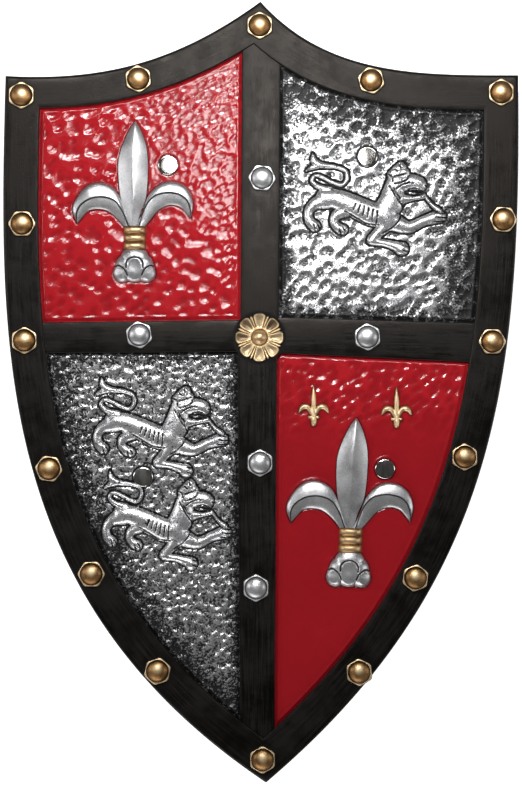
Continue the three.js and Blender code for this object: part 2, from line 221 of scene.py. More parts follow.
# Fleurs-de-lis by the middle of their collar; their lines in millimetres from there
FLEURS = {
    "fleur_upper": dict(place=(-98.6, 120.3), turn=0.0, size=1.0),
    "fleur_lower": dict(place=(69.9, -115.8), turn=math.radians(-2.5), size=1.05),
}
SMALL_FLEURS = {"small_fleur_left": (41.2, -17.5), "small_fleur_right": (106, -19)}
SPEAR_STOPS = [
    (8, -1.5, 3), (20, -1.8, 6.2), (30, -1.1, 9.4), (40, -1.1, 10.8), (52, -1.2, 11.4), (62, -1, 11.1),
    (71, -0.4, 9.4), (80, 0.1, 6.2), (86, 0.3, 3.4), (91, 0.5, 0.3),
]
CURLS = {
    "left": dict(
        side=-1,
        outer=[
            (-2, 9), (-5, 15), (-10, 28), (-17, 39), (-28, 43.2), (-38, 40), (-46, 30), (-48.5, 21),
            (-44.8, 11.4),
        ],
        step=[
            (-4.5, 9), (-9, 20), (-14, 27.6), (-20, 31), (-28, 32), (-36, 30), (-42.6, 25), (-45.4, 18.5),
            (-45, 12.2),
        ],
        inner=[
            (-8.5, 9), (-14, 15.5), (-20, 20.5), (-26, 22.4), (-32, 22.4), (-37, 20.5), (-41, 16),
            (-44.4, 11.8),
        ],
    ),
    "right": dict(
        side=1,
        outer=[
            (1, 9), (6, 20), (9.5, 30.5), (14, 37), (20, 41.8), (28, 43.8), (36, 42), (42.5, 36), (45.6, 26),
            (43.6, 15.4),
        ],
        step=[
            (3.4, 9), (6, 18.5), (10, 27.4), (16, 33), (24, 35.2), (30, 35), (36, 33.4), (41, 29), (43.6, 22),
            (43.8, 16),
        ],
        inner=[(8, 9), (12, 14), (18, 21.4), (24, 25), (30, 25.8), (36, 24), (40, 20), (43.4, 15.8)],
    ),
}
# The section across a side leaf, from its outer line to its step and on to its inner line: the share of
# the way, and the height as a share of the leaf's
CURL_OUTER_BAND = [(0.95, 0.6), (0.85, 0.72), (0.6, 0.86), (0.3, 0.96)]
CURL_INNER_BAND = [(0.4, 0.64), (0.7, 0.5), (0.93, 0.36)]
CURL_OUTER_EDGE = 0.36
CURL_CREST = 0.99
CURL_STEP = 0.5
CURL_TROUGH = 0.7
CURL_INNER_EDGE = 0.22
CURL_GROOVE = 0.9
CURL_GROOVE_SHARE = 0.3
CURL_FULL_WIDTH = 10
CURL_TAPER_SHARE = 0.55
CURL_HEIGHT_SHARE = 0.85
CURL_SAMPLES = 200
CURL_STEPS = 80
SPEAR_STEPS = 90
SPEAR_COLUMNS = 33
SPEAR_FULL_HALF = 12
SPEAR_THINNEST = 0.2
SPEAR_EDGE_SHARE = 0.42
SPEAR_KEEL = 1.12
SPEAR_ROUNDING = 0.4
SPEAR_ROUND_RANGE = (30, 75)
FOOT_LIMBS = [
    [(0, -17.5, 11.5), (0, -22.5, 12.2)],
    [(-6, -21, 8.6), (-9.5, -27.5, 7.4)],
    [(6, -21, 8.6), (9.2, -27.5, 7.2)],
]
FOOT_LINES = [
    [(-6.5, -23), (-6.2, -18.5), (-3.4, -15.6), (0.3, -14.9), (4, -15.8), (6.4, -19), (6.6, -23)],
    [(-5.6, -29), (-8, -24.4), (-12.4, -21.4), (-15, -22.2)],
    [(5.6, -29), (8, -24.4), (12.4, -21.4), (15, -22.2)],
]
FOOT_HOLLOWS = [((0, -24.5), (5.2, 8)), ((11.4, -27.4), (3.6, 4.4)), ((-11.6, -27.6), (3.6, 4.4))]
FOOT_ROUND = 9
FOOT_BOX = ((-20, -38), (20, -4))
FOOT_LINE_HALF = 0.8
FOOT_HOLLOW_DEPTH = 0.8
FOOT_HOLLOW_DISH = 0.6
FLEUR_HEIGHT = 6
FLEUR_CELL = 0.35
COLLAR_REACH = 8.8
COLLAR_RINGS = (-6.2, 0, 6.2)
COLLAR_RING_HALF = 3.3
COLLAR_HEIGHT = 6.9
COLLAR_LOWEST = 0.62
COLLAR_SINK = 0.6
COLLAR_SQUARENESS = 2.6
COLLAR_HALF_LENGTH = 10
SMALL_FLEUR_LIMBS = [
    [(0, -7, 1.8), (0, 4, 2.2), (0, 13, 2.1), (0, 22.8, 0.5)],
    [(0.5, -1, 1.5), (4.5, 5.6, 2.3), (8.6, 5.6, 2.3), (11.4, 1.6, 0.8)],
    [(-0.5, -1, 1.5), (-4.5, 5.6, 2.3), (-8.6, 5.6, 2.3), (-11.4, 1.6, 0.8)],
    [(-3.4, -2, 1.4), (3.4, -2, 1.4)],
    [(0, -4, 2.6), (0, -7, 2.4)],
]
SMALL_FLEUR_HEIGHT = 3
SMALL_FLEUR_BOX = ((-14, -12), (14, 25))

# Lions by the place of their middle and their stretch; their limbs as stops of x, y and half width
LIONS = {
    "lion_upper": dict(place=(83, 150.8), stretch=(1, 1)),
    "lion_middle": dict(place=(-84, -23.7), stretch=(0.95, 0.97)),
    "lion_lower": dict(place=(-79, -96.3), stretch=(0.91, 0.97)),
}
LION_LIMBS = [
    [(-34, 2, 6), (-24, 0, 8), (-11, -5, 8.6), (3, -11.5, 9.5), (14, -13, 9)],
    [(13, -11, 9.5), (19, -2, 10), (21, 8, 8), (22.5, 14, 7)],
    [(25, 12, 6.5), (33, 13, 6.6), (38, 12.4, 6.4), (41, 11.4, 5.6), (41, 9.6, 4.8)],
    [(19, 18.6, 3.6), (23, 21.8, 4.4), (26.4, 24.6, 4.6)],
    [(25, 19, 4), (29.4, 20.4, 4)],
    [(28, 0, 4), (36, 0.4, 2), (44, 1.8, 1.8)],
    [(44.5, 3, 1.3), (50, -4, 1.5), (56, -9, 2.5)],
    [(18, -17, 8), (32, -22, 5), (44, -17.3, 4.2), (54, -14.2, 5.2), (57, -14, 4.8)],
    [(17, -17, 7), (10, -25, 4.6), (4.5, -31, 4.2), (3.4, -32.5, 3.8)],
    [(3.5, -33, 3.4), (14, -34.5, 3), (23, -37, 4.2), (27, -39, 5.6)],
    [(-30, 0, 7.6), (-41, -4, 4.8), (-45.8, -10, 3.6), (-45, -17, 4), (-41, -21.3, 4.6)],
    [(-17, -9.5, 5), (-24, -12.6, 4.2), (-26, -18, 3.3), (-22.5, -22.5, 4), (-19, -24, 4.3)],
    [(-29, 7, 3), (-38, 9.5, 2.3), (-43, 14, 1.8), (-41, 18, 1.6), (-36, 17.6, 1.6), (-28, 13.5, 1.7),
     (-20, 11, 1.7), (-15.8, 15.5, 1.7), (-17, 22, 1.7), (-25, 25.2, 1.9), (-34, 26.2, 2.4), (-41, 29, 3),
     (-42.5, 35.4, 0.8)],
    [(-36, 26, 2.2), (-43, 24.6, 2.2), (-47.5, 22, 0.8)],
]
LION_LINES = [
    [(-17, -9.5), (-8, -15), (0, -19.3), (9, -20.3)],
    [(17, 10.5), (20, 6), (21.5, 3.5), (23.5, 0), (26, -3), (28, -7)],
    [(20.6, 8.6), (23, 4), (26, 0.4)],
    [(21, 17.4), (26, 18.6), (31, 20)],
    [(16.4, 19.4), (19.4, 17.4), (20, 14)],
    [(21.4, 23.4), (23.6, 21.6)],
    [(25.4, 27), (26.4, 24)],
    [(21.5, 12), (27, 13), (31, 15.4), (32.8, 18.4)],
    [(22.8, 7.8), (27, 10.8), (32, 12.6), (36, 12.4)],
    [(32.4, 7.4), (36, 8.4), (40, 7.8), (44, 5.6)],
    [(45.4, 10.6), (47, 9.8)],
    [(27.5, -8), (25.6, -15), (20.5, -21.5), (12, -27)],
    [(53, -9.6), (56, -11), (60, -11.4)],
    [(54, -14), (57.5, -14.6), (61, -14.6)],
    [(53, -17.4), (56.4, -17.8), (59.6, -17.4)],
    [(-41.6, -20), (-40.3, -25.5)],
    [(-38.6, -20), (-36.6, -24)],
    [(-21.5, -23.4), (-20.4, -28)],
    [(-18.6, -22.6), (-16.6, -26)],
    [(28, -36), (32.4, -37)],
    [(28, -40), (32, -41.6)],
]
LION_MOUTH = ((37.6, 4.9), (6.2, 2.7))
LION_TONGUE = ((38.2, 4.4), (3.4, 0.8))
LION_RIBS = 6
LION_RIB_TOP, LION_RIB_TOP_STEP = np.array([(-9, -3.8), (3.4, -1.1)])
LION_RIB_FOOT, LION_RIB_FOOT_STEP = np.array([(-10.8, -8.4), (3.6, -2.1)])
LION_HEIGHT = 5
LION_SINK = 0.3
LION_COVER_MARGIN = 40
LION_CELL = 0.5
LION_MARGIN = 10
LIMB_BLEND = 6
LIMB_DOME = 0.58
LIMB_THINNEST = 0.3
SKIRT_WIDTH = 0.9
SKIRT_SLOPE = 1.3
LINE_HALF_WIDTH = 0.75
LINE_DEPTH = 1.1
OUTLINE_GROOVE = 0.9
OUTLINE_GROOVE_AT = 0.4
OUTLINE_DEPTH = 0.9
OUTLINE_STEPS = 120
FOOT_OUTLINE_STEPS = 40

# Silver rubbed over black: the shares of grain and of height in its cover, the height painting highlight and
# shade, how far in from the panel's edge the cover grows, what is added to it at the edge, which paints
# shade, and inside, and how metallic it is
RUBBED_SILVERS = {
    "coarse_silver": dict(grain_share=0.14, painted_relief_shading_share=0.11, reach=50.0, edge=-0.085, full=0.07, metal=0.9),
    "fine_silver": dict(grain_share=0.27, painted_relief_shading_share=0.15, reach=38.0, edge=-0.14, full=0.04, metal=0.8),
    "figure_silver": dict(grain_share=0.33, painted_relief_shading_share=0.12, reach=38.0, edge=-0.14, full=0.04, metal=0.75),
}

# The studio, in metres and watts: each light's place, the point it is aimed at, its size and its power
LIGHTS = {
    "soft_box": ((0.012, 0.205, 0.5), (0.012, 0.205, 0), (0.13, 0.11), 0.67),
    "glint_left": ((-0.085, 0.204, 0.5), (-0.085, 0.204, 0), (0.035, 0.04), 0.016),
    "glint_right": ((0.082, 0.211, 0.5), (0.082, 0.211, 0), (0.024, 0.04), 0.006),
    "top_strip": ((0.05, 0.37, 0.5), (0.05, 0.25, 0), (0.56, 0.08), 1.3),
    "key_bank": ((-0.15, 0.95, 2.3), (0, 0, 0), (0.36, 0.3), 14),
    "left_bank": ((-1.15, 0.2, 0.75), (0, 0, 0), (0.4, 1.0), 4.8),
    "right_bank": ((1.2, 0, 0.5), (0, 0, 0), (0.4, 1.2), 4),
    "low_bank": ((-0.3, -1.2, 0.5), (0, 0, 0), (1.2, 0.4), 7.5),
}
WORLD_GREY = 0.04
FLOOR_HALF = 3

# The photograph's frame on the shield's face, in millimetres, seen from straight above
VIEW_CENTRE = (0.1, -0.3)
VIEW_HEIGHT = 612.6
CAMERA_DISTANCE = 3000


# Lines and fields of points

def bezier(control):
    """Points along a cubic curve."""
    start, start_handle, end_handle, end = (np.array(point, float) for point in control)
    t = np.linspace(0, 1, EDGE_SAMPLES)[:, None]
    near = (1 - t) ** 3 * start + 3 * (1 - t) ** 2 * t * start_handle
    return near + 3 * (1 - t) * t**2 * end_handle + t**3 * end


def smooth_line(stops, count):
    """Points along a smooth line through its stops."""
    stops = np.array(stops, float)
    padded = np.vstack([2 * stops[0] - stops[1], stops, 2 * stops[-1] - stops[-2]])
    place = np.linspace(0, len(stops) - 1, count)
    first = np.minimum(place.astype(int), len(stops) - 2)
    t = (place - first)[:, None]
    a, b, c, d = (padded[first + k] for k in range(4))
    curve = (c - a) * t + (2 * a - 5 * b + 4 * c - d) * t**2 + (3 * b - a - 3 * c + d) * t**3
    return b + curve / 2


def evenly(points, count):
    """The same line in evenly spaced points."""
    steps = np.linalg.norm(np.diff(points, axis=0), axis=1)
    length = np.concatenate([[0], np.cumsum(steps)])
    even = np.linspace(0, length[-1], count)
    return np.column_stack([np.interp(even, length, column) for column in points.T])


def cross(a, b):
    return a[..., 0] * b[..., 1] - a[..., 1] * b[..., 0]


def crossing(first, second):
    """Where two lines of points cross, as the place along each, counted in points."""
    along = np.diff(first, axis=0)[:, None]
    across = np.diff(second, axis=0)[None]
    apart = second[None, :-1] - first[:-1, None]
    area = cross(along, across)
    area[area == 0] = np.inf
    on_first = cross(apart, across) / area
    on_second = cross(apart, along) / area
    slack = 1e-9
    meets = (np.abs(on_first - 0.5) <= 0.5 + slack) & (np.abs(on_second - 0.5) <= 0.5 + slack)
    i, j = np.argwhere(meets & np.isfinite(area))[0]
    return i + on_first[i, j], j + on_second[i, j]


def stretch_of(line, start, end, count):
    """The part of a line between two places on it, in evenly spaced points."""
    low, high = min(start, end), max(start, end)
    inner = np.arange(math.floor(low) + 1, math.ceil(high))
    places = np.concatenate([[low], inner, [high]])
    index = np.arange(len(line))
    points = np.column_stack([np.interp(places, index, column) for column in line.T])
    return evenly(points if start <= end else points[::-1], count)


def inset_edges(insets):
    """The four edges of the outline, each moved inwards by its own distance."""
    moved = []
    for control, inset in zip(EDGES, insets):
        line = bezier(control)
        along = np.gradient(line, axis=0)
        along /= np.linalg.norm(along, axis=1, keepdims=True)
        moved.append(line + inset * np.column_stack([along[:, 1], -along[:, 0]]))
    return moved


def border_loop(insets):
    """A closed ring of points along the moved edges, each edge cut off where it meets its neighbours."""
    sides = inset_edges(insets)
    meetings = [crossing(side, sides[(i + 1) % 4]) for i, side in enumerate(sides)]
    parts = [
        stretch_of(side, meetings[i - 1][1], meetings[i][0], EDGE_STEPS + 1)[:-1]
        for i, side in enumerate(sides)
    ]
    return np.vstack(parts)


def fade(value, start, end):
    """0 before start, 1 after end, and a smooth rise between."""
    t = np.clip((value - start) / (end - start), 0, 1)
    return t * t * (3 - 2 * t)


def ripple(points, pitch, seed):
    """Smooth noise from 0 to 1 with lumps about a pitch apart."""
    rng = np.random.default_rng(seed)
    place = points / pitch
    cell = np.floor(place).astype(int)
    low = cell.min(axis=0)
    table = rng.random(cell.max(axis=0) - low + 2)
    share = place - cell
    share = share * share * (3 - 2 * share)
    i, j = (cell - low).T
    near = table[i, j] * (1 - share[:, 0]) + table[i + 1, j] * share[:, 0]
    far = table[i, j + 1] * (1 - share[:, 0]) + table[i + 1, j + 1] * share[:, 0]
    return near * (1 - share[:, 1]) + far * share[:, 1]


def hammered(points, pitch, seed):
    """A hammered surface: bowls about a pitch apart that meet in soft ridges, 0 deep to 1 high."""
    rng = np.random.default_rng(seed)
    cell = np.floor(points / pitch).astype(int)
    low = cell.min(axis=0) - 1
    span = cell.max(axis=0) - low + 2
    centres = rng.random((*span, 2))
    tightness = DENT_SHARPNESS * rng.uniform(*DENT_TIGHTNESS, span)
    total = np.zeros(len(points))
    for step in np.ndindex(3, 3):
        i, j = (cell - low + np.array(step) - 1).T
        away = cell + np.array(step) - 1 + centres[i, j] - points / pitch
        total += np.exp(-tightness[i, j] * (away**2).sum(axis=1))
    return np.clip(-np.log(total + 1e-4) / DENT_SHARPNESS, 0, 1)


def limb_field(points, limbs, height):
    """A figure made of limbs: its height at each point, and how far the point lies outside its outline."""
    widest = max(stop[2] for limb in limbs for stop in limb)
    raised = np.zeros(len(points))
    gap = np.full(len(points), np.inf)
    for limb in limbs:
        line = smooth_line(limb, 10 * len(limb))
        half = np.maximum(line[:, 2], LIMB_THINNEST)
        away = np.linalg.norm(points[:, None] - line[None, :, :2], axis=2)
        gap = np.minimum(gap, (away - half).min(axis=1))
        dome = np.clip(1 - (away / half) ** 2, 0, None) ** LIMB_DOME
        raised += (height * np.sqrt(half / widest) * dome).max(axis=1) ** LIMB_BLEND
    return raised ** (1 / LIMB_BLEND), gap


def line_field(points, lines, half_width):
    """How deep each point lies in grooves along the lines, 0 outside to 1 in the middle."""
    depth = np.zeros(len(points))
    for line in lines:
        count = 12 * len(line)
        fine = evenly(smooth_line(line, count), count)
        away = np.linalg.norm(points[:, None] - fine[None], axis=2).min(axis=1)
        depth = np.maximum(depth, np.clip(1 - (away / half_width) ** 2, 0, 1))
    return depth


def within(points, centre, radii):
    """How far each point lies inside an ellipse, 0 on its line or outside to 1 in the middle."""
    offset = (points - np.array(centre, float)) / np.array(radii, float)
    return np.clip(1 - (offset**2).sum(axis=1), 0, 1)


# Meshes

def grid_faces(rows, columns, ring=False):
    """Quads between the rows and columns of a grid of points; a ring joins the last column to the first."""
    row, column = np.meshgrid(np.arange(rows - 1), np.arange(columns - (not ring)), indexing="ij")
    here = row * columns + column
    beside = row * columns + (column + 1) % columns
    return np.stack([here, beside, beside + columns, here + columns], axis=-1).reshape(-1, 4)


def make_piece(name, shape, material, nodes=("shield_body",), sharp=40):
    """A smooth-shaded piece that stands for CAD nodes: points in millimetres, faces and attribute values."""
    points, faces, values = shape
    mesh = bpy.data.meshes.new(name)
    mesh.from_pydata((np.array(points) * MM).tolist(), [], [list(map(int, face)) for face in faces])
    for key, value in values.items():
        attribute = mesh.attributes.new(key, "FLOAT", "POINT")
        attribute.data.foreach_set("value", np.asarray(value, np.float32))
    mesh.shade_smooth()
    mesh.set_sharp_from_angle(angle=math.radians(sharp))
    mesh.materials.append(material)
    piece = bpy.data.objects.new(name, mesh)
    bpy.context.scene.collection.objects.link(piece)
    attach(piece, "root")
    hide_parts(*nodes)


def stack_faces(rings, count):
    """Faces of a stack of rings of points, from the lowest ring to the highest, closed at both ends."""
    last = (rings - 1) * count
    ends = [list(range(count))[::-1], list(range(last, last + count))]
    return [*grid_faces(rings, count, ring=True), *ends]


def join(parts):
    """One set of points, faces and attribute values from several."""
    points, faces, values, start = [], [], {}, 0
    for part_points, part_faces, part_values in parts:
        points.append(np.asarray(part_points))
        faces.extend([[start + index for index in face] for face in part_faces])
        for key, value in part_values.items():
            values.setdefault(key, []).append(value)
        start += len(part_points)
    return np.vstack(points), faces, {key: np.concatenate(value) for key, value in values.items()}


def turned(place, levels):
    """Rings of points about an upright line, one for each radius and height."""
    angle = np.linspace(0, 2 * math.pi, ROUND_SEGMENTS, endpoint=False)
    x, y = place
    rings = []
    for radius, z in levels:
        height = np.full(ROUND_SEGMENTS, z)
        rings.append(np.column_stack([x + radius * np.cos(angle), y + radius * np.sin(angle), height]))
    return np.vstack(rings), stack_faces(len(rings), ROUND_SEGMENTS)


def relief(shape, places, z, floor_z, inside, values):
    """A closed piece under a height field: its inner cells, a flat underside and walls round the edge."""
    rows, columns = shape
    count = rows * columns
    top = np.column_stack([places, z])
    bottom = np.column_stack([places, np.full(count, floor_z)])
    whole = inside.reshape(shape)
    kept = whole[:-1, :-1] & whole[1:, :-1] & whole[:-1, 1:] & whole[1:, 1:]
    faces = grid_faces(rows, columns).reshape(rows - 1, columns - 1, 4)[kept]
    edges = np.concatenate([faces[:, [k, (k + 1) % 4]] for k in range(4)])
    one_way = edges[:, 0] * count + edges[:, 1]
    other_way = edges[:, 1] * count + edges[:, 0]
    start, end = edges[~np.isin(one_way, other_way)].T
    walls = np.column_stack([end, start, start + count, end + count])
    every = np.vstack([faces, faces[:, ::-1] + count, walls])
    used, numbered = np.unique(every, return_inverse=True)
    doubled = {key: np.concatenate([value, value])[used] for key, value in values.items()}
    return np.vstack([top, bottom])[used], numbered.reshape(-1, 4), doubled


def field_grid(low, high, cell):
    """A grid of points over a box, in one list, with its numbers of rows and columns."""
    x, y = np.meshgrid(np.arange(low[0], high[0] + cell, cell), np.arange(low[1], high[1] + cell, cell))
    return np.column_stack([x.ravel(), y.ravel()]), x.shape


def skirted(height, gap):
    """A figure's height, and outside its outline a slope down into the surface round it."""
    return np.where(gap < 0, height, -SKIRT_SLOPE * gap)


# Materials

class Paint:
    """A material under construction: short calls that add a node and give back its output."""

    def __init__(self, name):
        self.material = bpy.data.materials.new(name)
        self.material.use_nodes = True
        self.tree = self.material.node_tree
        self.shader = self.tree.nodes["Principled BSDF"]
        self.place = self.add("ShaderNodeTexCoord").outputs["Object"]

    def add(self, kind, **inputs):
        made = self.tree.nodes.new(kind)
        for key, value in inputs.items():
            self.put(made.inputs[key.replace("_", " ")], value)
        return made

    def put(self, socket, value):
        if isinstance(value, bpy.types.NodeSocket):
            self.tree.links.new(value, socket)
        else:
            socket.default_value = value

    def set(self, **inputs):
        for key, value in inputs.items():
            self.put(self.shader.inputs[key.replace("_", " ")], value)

    def attribute(self, name):
        made = self.add("ShaderNodeAttribute")
        made.attribute_name = name
        return made.outputs["Fac"]

    def stretched(self, scale):
        return self.add("ShaderNodeMapping", Vector=self.place, Scale=scale).outputs["Vector"]

    def noise(self, scale, detail=3.0, roughness=0.55, vector=None):
        vector = vector or self.place
        made = self.add("ShaderNodeTexNoise", Vector=vector, Scale=scale, Detail=detail, Roughness=roughness)
        return made.outputs["Fac"]

    def math(self, operation, first, second):
        made = self.tree.nodes.new("ShaderNodeMath")
        made.operation = operation
        self.put(made.inputs[0], first)
        self.put(made.inputs[1], second)
        return made.outputs["Value"]

    def blend(self, first, first_share, second, second_share):
        first_part = self.math("MULTIPLY", first, first_share)
        return self.math("ADD", first_part, self.math("MULTIPLY", second, second_share))

    def between(self, value, low, high, out_low=0.0, out_high=1.0):
        made = self.add("ShaderNodeMapRange", Value=value)
        made.interpolation_type = "SMOOTHSTEP"
        for socket, number in zip(list(made.inputs)[1:5], (low, high, out_low, out_high)):
            self.put(socket, number)
        return made.outputs["Result"]

    def mix(self, share, first, second):
        made = self.tree.nodes.new("ShaderNodeMix")
        made.data_type = "RGBA"
        self.put(made.inputs[0], share)
        self.put(made.inputs[6], first)
        self.put(made.inputs[7], second)
        return made.outputs[2]

    def bump(self, height, distance, strength=1.0, normal=None):
        made = self.add("ShaderNodeBump", Height=height, Distance=distance, Strength=strength)
        if normal:
            self.put(made.inputs["Normal"], normal)
        self.set(Normal=made.outputs["Normal"])
        return made.outputs["Normal"]


def grey(value):
    return (value, value, value, 1)


def black_foam():
    """Satin black paint over moulded foam, a little worn and brushed."""
    paint = Paint("black_foam")
    patches = paint.noise(22, 4, 0.6)
    smudges = paint.noise(60, 5, 0.65)
    along = paint.math("MULTIPLY", paint.attribute("along"), 0.025)
    across = paint.math("MULTIPLY", paint.attribute("across"), 0.8)
    lengthwise = paint.add("ShaderNodeCombineXYZ", X=along, Y=across).outputs["Vector"]
    streaks = paint.noise(1.0, 3, 0.6, lengthwise)
    worn = paint.blend(patches, 0.4, streaks, 0.6)
    rubbed = paint.blend(worn, 0.55, smudges, 0.45)
    paint.set(
        Base_Color=paint.mix(paint.between(worn, 0.4, 0.62), grey(0.0012), (0.0065, 0.006, 0.0055, 1)),
        Roughness=paint.between(rubbed, 0.4, 0.6, 0.28, 0.5),
        Specular_IOR_Level=0.22,
        Specular_Tint=(1.0, 0.9, 0.82, 1),
    )
    grain = paint.noise(700, 3, 0.7)
    normal = paint.bump(grain, 0.0002, 0.4)
    paint.bump(rubbed, 0.0004, 0.3, normal)
    return paint.material


def red_paint():
    """Glossy red paint with a fine pebbled skin."""
    paint = Paint("red_paint")
    patches = paint.noise(30, 4, 0.6)
    # Random patches of tone mixed with painted shade: lighter on the dents' ridges, darker in their bowls
    shade = paint.blend(patches, 0.5, paint.attribute("height"), 0.5)
    red = paint.mix(paint.between(shade, 0.2, 0.7), (0.3, 0.008, 0.013, 1), (0.405, 0.012, 0.018, 1))
    paint.set(
        # Painted shade: near-black red along the grooves round the figures and rivet seats
        Base_Color=paint.mix(paint.attribute("groove_painted_shade"), red, (0.05, 0.003, 0.004, 1)),
        Roughness=paint.between(paint.noise(220, 3, 0.6), 0.3, 0.7, 0.09, 0.18),
        Specular_IOR_Level=0.5,
    )
    pebbles = paint.noise(360, 3, 0.6)
    paint.bump(pebbles, 0.0004, 0.3)
    return paint.material


def rubbed_silver(name, grain_share, painted_relief_shading_share, reach, edge, full, metal):
    """Silver paint rubbed over black in a random grain, with a painted highlight on the raised parts, painted
    shade black in the grooves, and painted shade from the panel's edge inwards as far as it reaches."""
    paint = Paint(name)
    speckle = paint.noise(620, 3, 0.7)
    patches = paint.noise(210, 4, 0.65)
    grain = paint.blend(speckle, 0.7, patches, 0.3)
    wear = paint.between(grain, 0.3, 0.7, 0.5 - grain_share, 0.5 + grain_share)
    # Painted shade: the cover thins from inside towards the panel's edge
    inside = paint.between(paint.attribute("margin"), -1.0, reach, edge, full)
    # Painted highlight on the raised parts and painted shade in the grooves
    painted_relief_shading = paint.blend(paint.attribute("height"), painted_relief_shading_share, paint.attribute("groove_painted_shade"), -0.5)
    cover = paint.math("ADD", paint.math("ADD", wear, inside), painted_relief_shading)
    silver = paint.between(cover, 0.5, 0.7)
    paint.set(
        Base_Color=paint.mix(silver, grey(0.008), (0.62, 0.62, 0.635, 1)),
        Metallic=paint.between(silver, 0.0, 0.6, 0.0, metal),
        Roughness=paint.between(silver, 0.0, 0.8, 0.42, 0.27),
        Specular_IOR_Level=0.2,
    )
    paint.bump(grain, 0.0005, 1.6 * grain_share)
    return paint.material


def silver_paint():
    """Satin silver paint with a fine speckle, with painted shade in its creases and painted highlights near
    white.
    """
    paint = Paint("silver_paint")
    speckle = paint.noise(1300, 3, 0.7)
    patches = paint.noise(70, 3, 0.6)
    worn = paint.blend(speckle, 0.6, patches, 0.4)
    bright = paint.mix(paint.between(worn, 0.35, 0.65), (0.36, 0.36, 0.37, 1), (0.62, 0.62, 0.63, 1))
    # Painted shade darkens the creases and the studs' lower domes; the rim value is a painted highlight on
    # stud rims and dome tops
    painted_shade_mask = paint.between(paint.attribute("painted_shade"), 0.2, 0.75)
    rim = paint.mix(paint.attribute("rim"), bright, (0.88, 0.88, 0.89, 1))
    dull = paint.between(worn, 0.3, 0.7, 0.28, 0.42)
    paint.set(
        Base_Color=paint.mix(painted_shade_mask, rim, grey(0.012)),
        Metallic=paint.between(painted_shade_mask, 0.0, 1.0, 0.8, 0.2),
        Roughness=paint.blend(dull, 1.0, painted_shade_mask, 0.4),
    )
    paint.bump(speckle, 0.00015, 0.35)
    return paint.material


def gold_paint():
    """Satin antique gold: painted shade turns it brown in its hollows and near black in its deepest lines,
    and painted highlights turn it cream.
    """
    paint = Paint("gold_paint")
    speckle = paint.noise(900, 3, 0.7)
    patches = paint.noise(160, 3, 0.6)
    worn = paint.blend(speckle, 0.5, patches, 0.5)
    bright = paint.mix(paint.between(worn, 0.35, 0.65), (0.21, 0.1, 0.032, 1), (0.38, 0.21, 0.08, 1))
    # Painted shade turns the hollows and lower domes brown; the rim value is a painted highlight in cream on
    # rims, tops and petals
    painted_shade_mask = paint.between(paint.attribute("painted_shade"), 0.1, 1.0)
    # Near black, less metallic and rougher: painted shadow on the studs' sides, round their feet and in their
    # channels, round the rosette and in its seams, and at the small fleurs' edges
    painted_shadow_line = paint.between(paint.attribute("painted_shade"), 0.9, 1.0)
    rim = paint.mix(paint.attribute("rim"), bright, (0.88, 0.68, 0.41, 1))
    dull = paint.between(worn, 0.3, 0.7, 0.36, 0.48)
    paint.set(
        Base_Color=paint.mix(painted_shadow_line, paint.mix(painted_shade_mask, rim, (0.05, 0.021, 0.007, 1)), grey(0.003)),
        Metallic=paint.between(painted_shadow_line, 0.0, 1.0, 0.85, 0.3),
        Roughness=paint.blend(dull, 1.0, painted_shadow_line, 0.45),
    )
    paint.bump(speckle, 0.0002, 0.3)
    return paint.material


def nickel():
    """Polished nickel plate with faint smears."""
    paint = Paint("nickel")
    smears = paint.noise(120, 3, 0.6, paint.stretched((1, 0.3, 1)))
    paint.set(
        Base_Color=paint.mix(paint.between(smears, 0.35, 0.65), (0.66, 0.64, 0.6, 1), (0.82, 0.81, 0.78, 1)),
        Metallic=1.0,
        Roughness=paint.between(smears, 0.3, 0.7, 0.08, 0.2),
    )
    paint.bump(paint.noise(60, 2, 0.5), 0.0004, 0.05)
    return paint.material


def black_webbing():
    """Woven black webbing."""
    paint = Paint("black_webbing")
    threads = paint.add("ShaderNodeTexWave", Vector=paint.place, Scale=420.0, Distortion=1.5).outputs["Fac"]
    fluff = paint.noise(700, 3, 0.7)
    paint.set(
        Base_Color=paint.mix(paint.math("MULTIPLY", threads, fluff), grey(0.008), grey(0.04)),
        Roughness=paint.between(fluff, 0.3, 0.7, 0.7, 0.9),
        Sheen_Weight=0.3,
    )
    paint.bump(threads, 0.0003, 0.5)
    return paint.material


def floor_paint():
    """The white sweep that the shield lies on."""
    paint = Paint("floor")
    paint.set(Base_Color=grey(0.9), Roughness=0.9, Emission_Color=grey(1.0), Emission_Strength=0.9)
    return paint.material


# The moulded frame

def rounded(start, end, corner, steps=4):
    """Points on a quarter round from start to end about the side of corner, start left out."""
    start, end, corner = (np.array(point, float) for point in (start, end, corner))
    t = np.linspace(0, 1, steps + 1)[1:, None]
    return [tuple(point) for point in (1 - t) ** 2 * start + 2 * t * (1 - t) * corner + t**2 * end]


def border_profile():
    """The border's section as pairs of inset and height: inset as a share of the width plus millimetres."""
    inner, outer, back = BAND_INNER_ROUND, BAND_OUTER_ROUND, BACK_ROUND
    profile = [((0, BACK_RIM + BACK_STEP), BACK_Z + BACK_STEP), ((0, BACK_RIM), BACK_Z), ((0, back), BACK_Z)]
    profile += [((0, inset), z) for inset, z in rounded((back, BACK_Z), (0, BACK_Z + back), (0, BACK_Z))]
    profile += [((0, 0), BACK_Z + (BAND_Z - BACK_Z) * share) for share in EDGE_RING_SHARES]
    profile += [((0, 0), BAND_Z - outer)]
    profile += [((0, inset), z) for inset, z in rounded((0, BAND_Z - outer), (outer, BAND_Z), (0, BAND_Z))]
    profile += [((share, 0), BAND_Z) for share in BAND_RING_SHARES]
    profile += [((1, -inner), BAND_Z)]
    profile += [((1, inset), z) for inset, z in rounded((-inner, BAND_Z), (0, BAND_Z - inner), (0, BAND_Z))]
    return profile + [((1, 0), PANEL_Z - FLOOR_DEPTH)]


